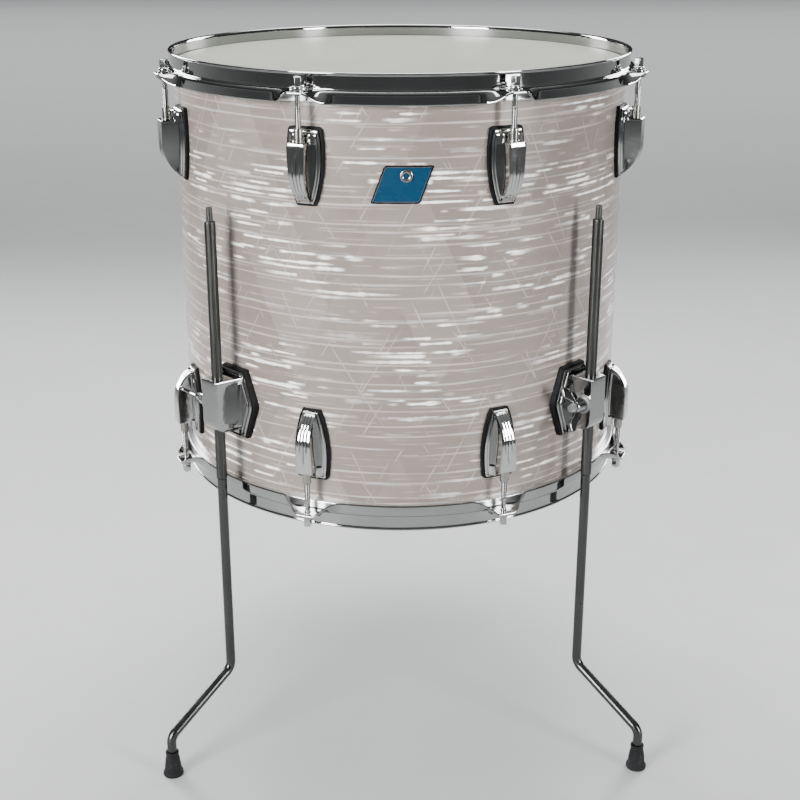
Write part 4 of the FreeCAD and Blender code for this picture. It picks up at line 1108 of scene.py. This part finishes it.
def make_foot(place):
    """Rubber foot: a flared cup with a collar, three grip rings and a bevelled sole."""
    section = [(0, 0), (8.6, 0), (9.7, 0.4), (10.2, 1.3), (10.2, 3.2), (9.8, 4.0), (8.9, 4.6), (8.7, 5.6)]
    section += [(8.5, 7.0)]
    for k in range(3):
        z = 8.4 + 3.4 * k
        r = 8.2 - 0.42 * k
        grip = [(0, 0), (0.15, 0.4), (-0.35, 1.1), (-0.4, 1.9), (0.05, 2.6)]
        section += [(r + out, z + rise) for out, rise in grip]
    section += [(6.9, 19.4), (6.5, 21.0), (6.4, 24.6), (6.75, 25.0), (6.8, 26.2), (6.4, 26.9), (5.6, 27.0)]
    section += [(4.82, 26.6), (4.82, 5.0), (0, 5.0)]
    frame_of = on_ring(LEG_AZIMUTHS[place], LEG_CIRCLE + SPLAY, 0)
    piece(f"foot_{place}", Shape().lathe(section, 48).placed(frame_of), [FOOT_RUBBER], f"leg_{place}",
          [f"rubber_foot_{place}"], sharp=35)


# --- badge and vent ---
badge_low, badge_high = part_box("badge")
VENT_Z = (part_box("vent_grommet")[0].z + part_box("vent_grommet")[1].z) / 2 / MM


def badge_plan(distance):
    """The badge's plan about the vent: a plate that leans to the right, two corners rounded."""
    low, high = badge_low.z / MM - VENT_Z, badge_high.z / MM - VENT_Z
    width, low_left, high_left = 44.0, 32.0, 19.3
    corners = [(-low_left, low, 1.2), (width - low_left, low, 4.5), (width - high_left, high, 1.0),
               (-high_left, high, 4.5)]
    return inset(rounded(corners, 6), distance)


def bent_plate(distance, low, high, kind):
    """A thin plate bent to the shell, cut into columns so that it follows the curve."""
    drawing = bmesh.new()
    flat = [drawing.verts.new((p.x, p.y, 0)) for p in badge_plan(distance)]
    drawing.faces.new(flat)
    for x in range(-30, 26, 3):
        everything = drawing.verts[:] + drawing.edges[:] + drawing.faces[:]
        bmesh.ops.bisect_plane(drawing, geom=everything, plane_co=(x, 0, 0), plane_no=(1, 0, 0))
    extruded = bmesh.ops.extrude_face_region(drawing, geom=drawing.faces[:])
    raised = {v for v in extruded["geom"] if isinstance(v, bmesh.types.BMVert)}
    drawing.verts.index_update()
    points = [(*v.co.xy, shell_drop(v.co.x) + (high if v in raised else low)) for v in drawing.verts]
    faces = [[v.index for v in f.verts] for f in drawing.faces]
    drawing.free()
    return Shape().add(points, faces, kind)


def make_badge():
    """Blank name plate: a dark border, a thin bright line and one plain enamel field, bent to the shell."""
    shape = Shape()
    for kind, (distance, low, high) in enumerate(((0, 0.03, 0.75), (1.3, 0.5, 0.88), (1.8, 0.5, 0.96))):
        shape.join(bent_plate(distance, low, high, kind))
    piece("name_plate", shape.placed(on_shell(0, VENT_Z)), [PLATE_EDGE, PLATE_LINE, PLATE_FIELD], "drum",
          ["badge"], sharp=30)


def make_vent():
    """Vent grommet: a rounded flange round a hole that goes right through the shell."""
    section = [(2.6, -8.2), (5.0, -8.2), (5.3, -7.9), (5.3, -7.1), (4.2, -7.0), (4.2, 1.0), (5.9, 1.02),
               (5.9, 1.5), (5.6, 2.1), (5.0, 2.5), (4.2, 2.62), (3.4, 2.5), (2.8, 2.1), (2.6, 1.5)]
    piece("vent_eyelet", Shape().lathe(section, 48, closed=True).placed(on_shell(0, VENT_Z)), [NUT_STEEL],
          "drum", ["vent_grommet"])


# --- everything together ---
make_wrap()
make_shell()
for side in SIDES:
    make_head(side)
    make_hoop(side)
    make_rods(side)
    make_lugs(side)
for place in PLACES:
    make_bracket(place)
    make_eyebolt(place)
    make_wing_nut(place)
    make_leg(place)
    make_foot(place)
make_bracket_pads()
make_clamp_washers()
make_badge()
make_vent()

HIDDEN_FINISHES = {
    "lug_screws": ZINC, "lug_washers": ZINC, "bracket_screws": ZINC, "bracket_washers": ZINC,
    "nut_retainers": NYLON,
}
for node, material in HIDDEN_FINISHES.items():
    slots = frame["nodes"][node].data.materials
    slots.clear()
    slots.append(material)


# --- floor, light and camera ---
FLOOR_HALF = 60.0
SOFTBOX_SPREAD = 90.0
# Each soft box: its place, the point it faces and its size, in metres, and its power in watts.
SOFTBOXES = {
    "key": ((-1.7, -1.9, 1.15), (0, -0.1, 0.52), (0.9, 1.3), 39),
    "fill": ((1.9, -1.7, 1.0), (0, -0.1, 0.52), (0.5, 1.3), 20),
    "top": ((0.0, 0.7, 2.6), (0, 0.1, 0.5), (2.4, 1.6), 33),
    "far_floor": ((0.0, 6.2, 4.6), (0, 6.2, 0), (14.0, 9.0), 560),
    "near_floor": ((0.0, -12.5, 4.6), (0, -12.5, 0), (14.0, 9.0), 220),
    "left_floor": ((-11.5, -1.5, 4.6), (-11.5, -1.5, 0), (8.0, 9.0), 180),
    "right_floor": ((11.5, -1.5, 4.6), (11.5, -1.5, 0), (8.0, 9.0), 180),
    "back_left": ((-1.7, 1.7, 1.2), (0, 0, 0.48), (0.7, 1.4), 21),
    "back_right": ((1.7, 1.9, 1.2), (0, 0, 0.48), (0.9, 1.4), 21),
}
SKY_STRENGTH = 0.5
SKY_STRIPS = ((0.035, 0.24), (0.05, 0.05), (0.12, 0.06), (0.20, 0.30), (0.34, 0.10), (0.60, 0.45))
LENS, SENSOR, LENS_SHIFT = 59.34, 36.0, -0.0536
CAMERA_LEFT, CAMERA_FORWARD, CAMERA_RISE = 33.4, 1371.0, 355.9
CAMERA_PITCH = 19.164


def make_floor():
    mesh = bpy.data.meshes.new("studio_floor")
    corners = [(x * FLOOR_HALF, y * FLOOR_HALF, 0) for x, y in ((-1, -1), (1, -1), (1, 1), (-1, 1))]
    mesh.from_pydata(corners, [], [(0, 1, 2, 3)])
    mesh.materials.append(floor_paint("studio_floor"))
    add_object("studio_floor", mesh)


def make_light(name, place, target, size, watts):
    data = bpy.data.lights.new(name, "AREA")
    data.shape = "RECTANGLE"
    data.size, data.size_y = size
    data.energy = watts
    data.spread = radians(SOFTBOX_SPREAD)
    lamp = add_object(name, data)
    lamp.location = place
    lamp.rotation_euler = (Vector(target) - Vector(place)).to_track_quat("-Z", "Y").to_euler()


def make_sky():
    """A soft room: floor grey at the horizon, dark low walls, a pale strip, and bright overhead."""
    world = bpy.data.worlds.new("studio")
    bpy.context.scene.world = world
    world.use_nodes = True
    tree = world.node_tree
    background = tree.nodes["Background"]
    where = tree.nodes.new("ShaderNodeTexCoord")
    parts = tree.nodes.new("ShaderNodeSeparateXYZ")
    ramp = tree.nodes.new("ShaderNodeValToRGB")
    tree.links.new(where.outputs["Generated"], parts.inputs[0])
    tree.links.new(parts.outputs["Z"], ramp.inputs[0])
    tree.links.new(ramp.outputs[0], background.inputs["Color"])
    stops = ramp.color_ramp.elements
    stops[0].position, stops[0].color = 0.0, (0.24, 0.243, 0.246, 1)
    stops[1].position, stops[1].color = 1.0, (0.85, 0.86, 0.88, 1)
    for position, level in SKY_STRIPS:
        stops.new(position).color = (level, level * 1.01, level * 1.03, 1)
    background.inputs["Strength"].default_value = SKY_STRENGTH


def make_camera():
    """A camera in front of the drum and above it, looking down on it."""
    data = bpy.data.cameras.new("camera")
    data.lens, data.sensor_width, data.shift_y = LENS, SENSOR, LENS_SHIFT
    camera = add_object("camera", data)
    offset = Vector((-CAMERA_LEFT, -CAMERA_FORWARD, CAMERA_RISE))
    camera.location = (AXIS + Vector((0, 0, CENTRE_Z)) + offset) * MM
    yaw = atan2(CAMERA_LEFT, CAMERA_FORWARD)
    camera.rotation_euler = (pi / 2 - radians(CAMERA_PITCH), 0, -yaw)
    bpy.context.scene.camera = camera


make_floor()
make_sky()
for name, softbox in SOFTBOXES.items():
    make_light(name, *softbox)
make_camera()
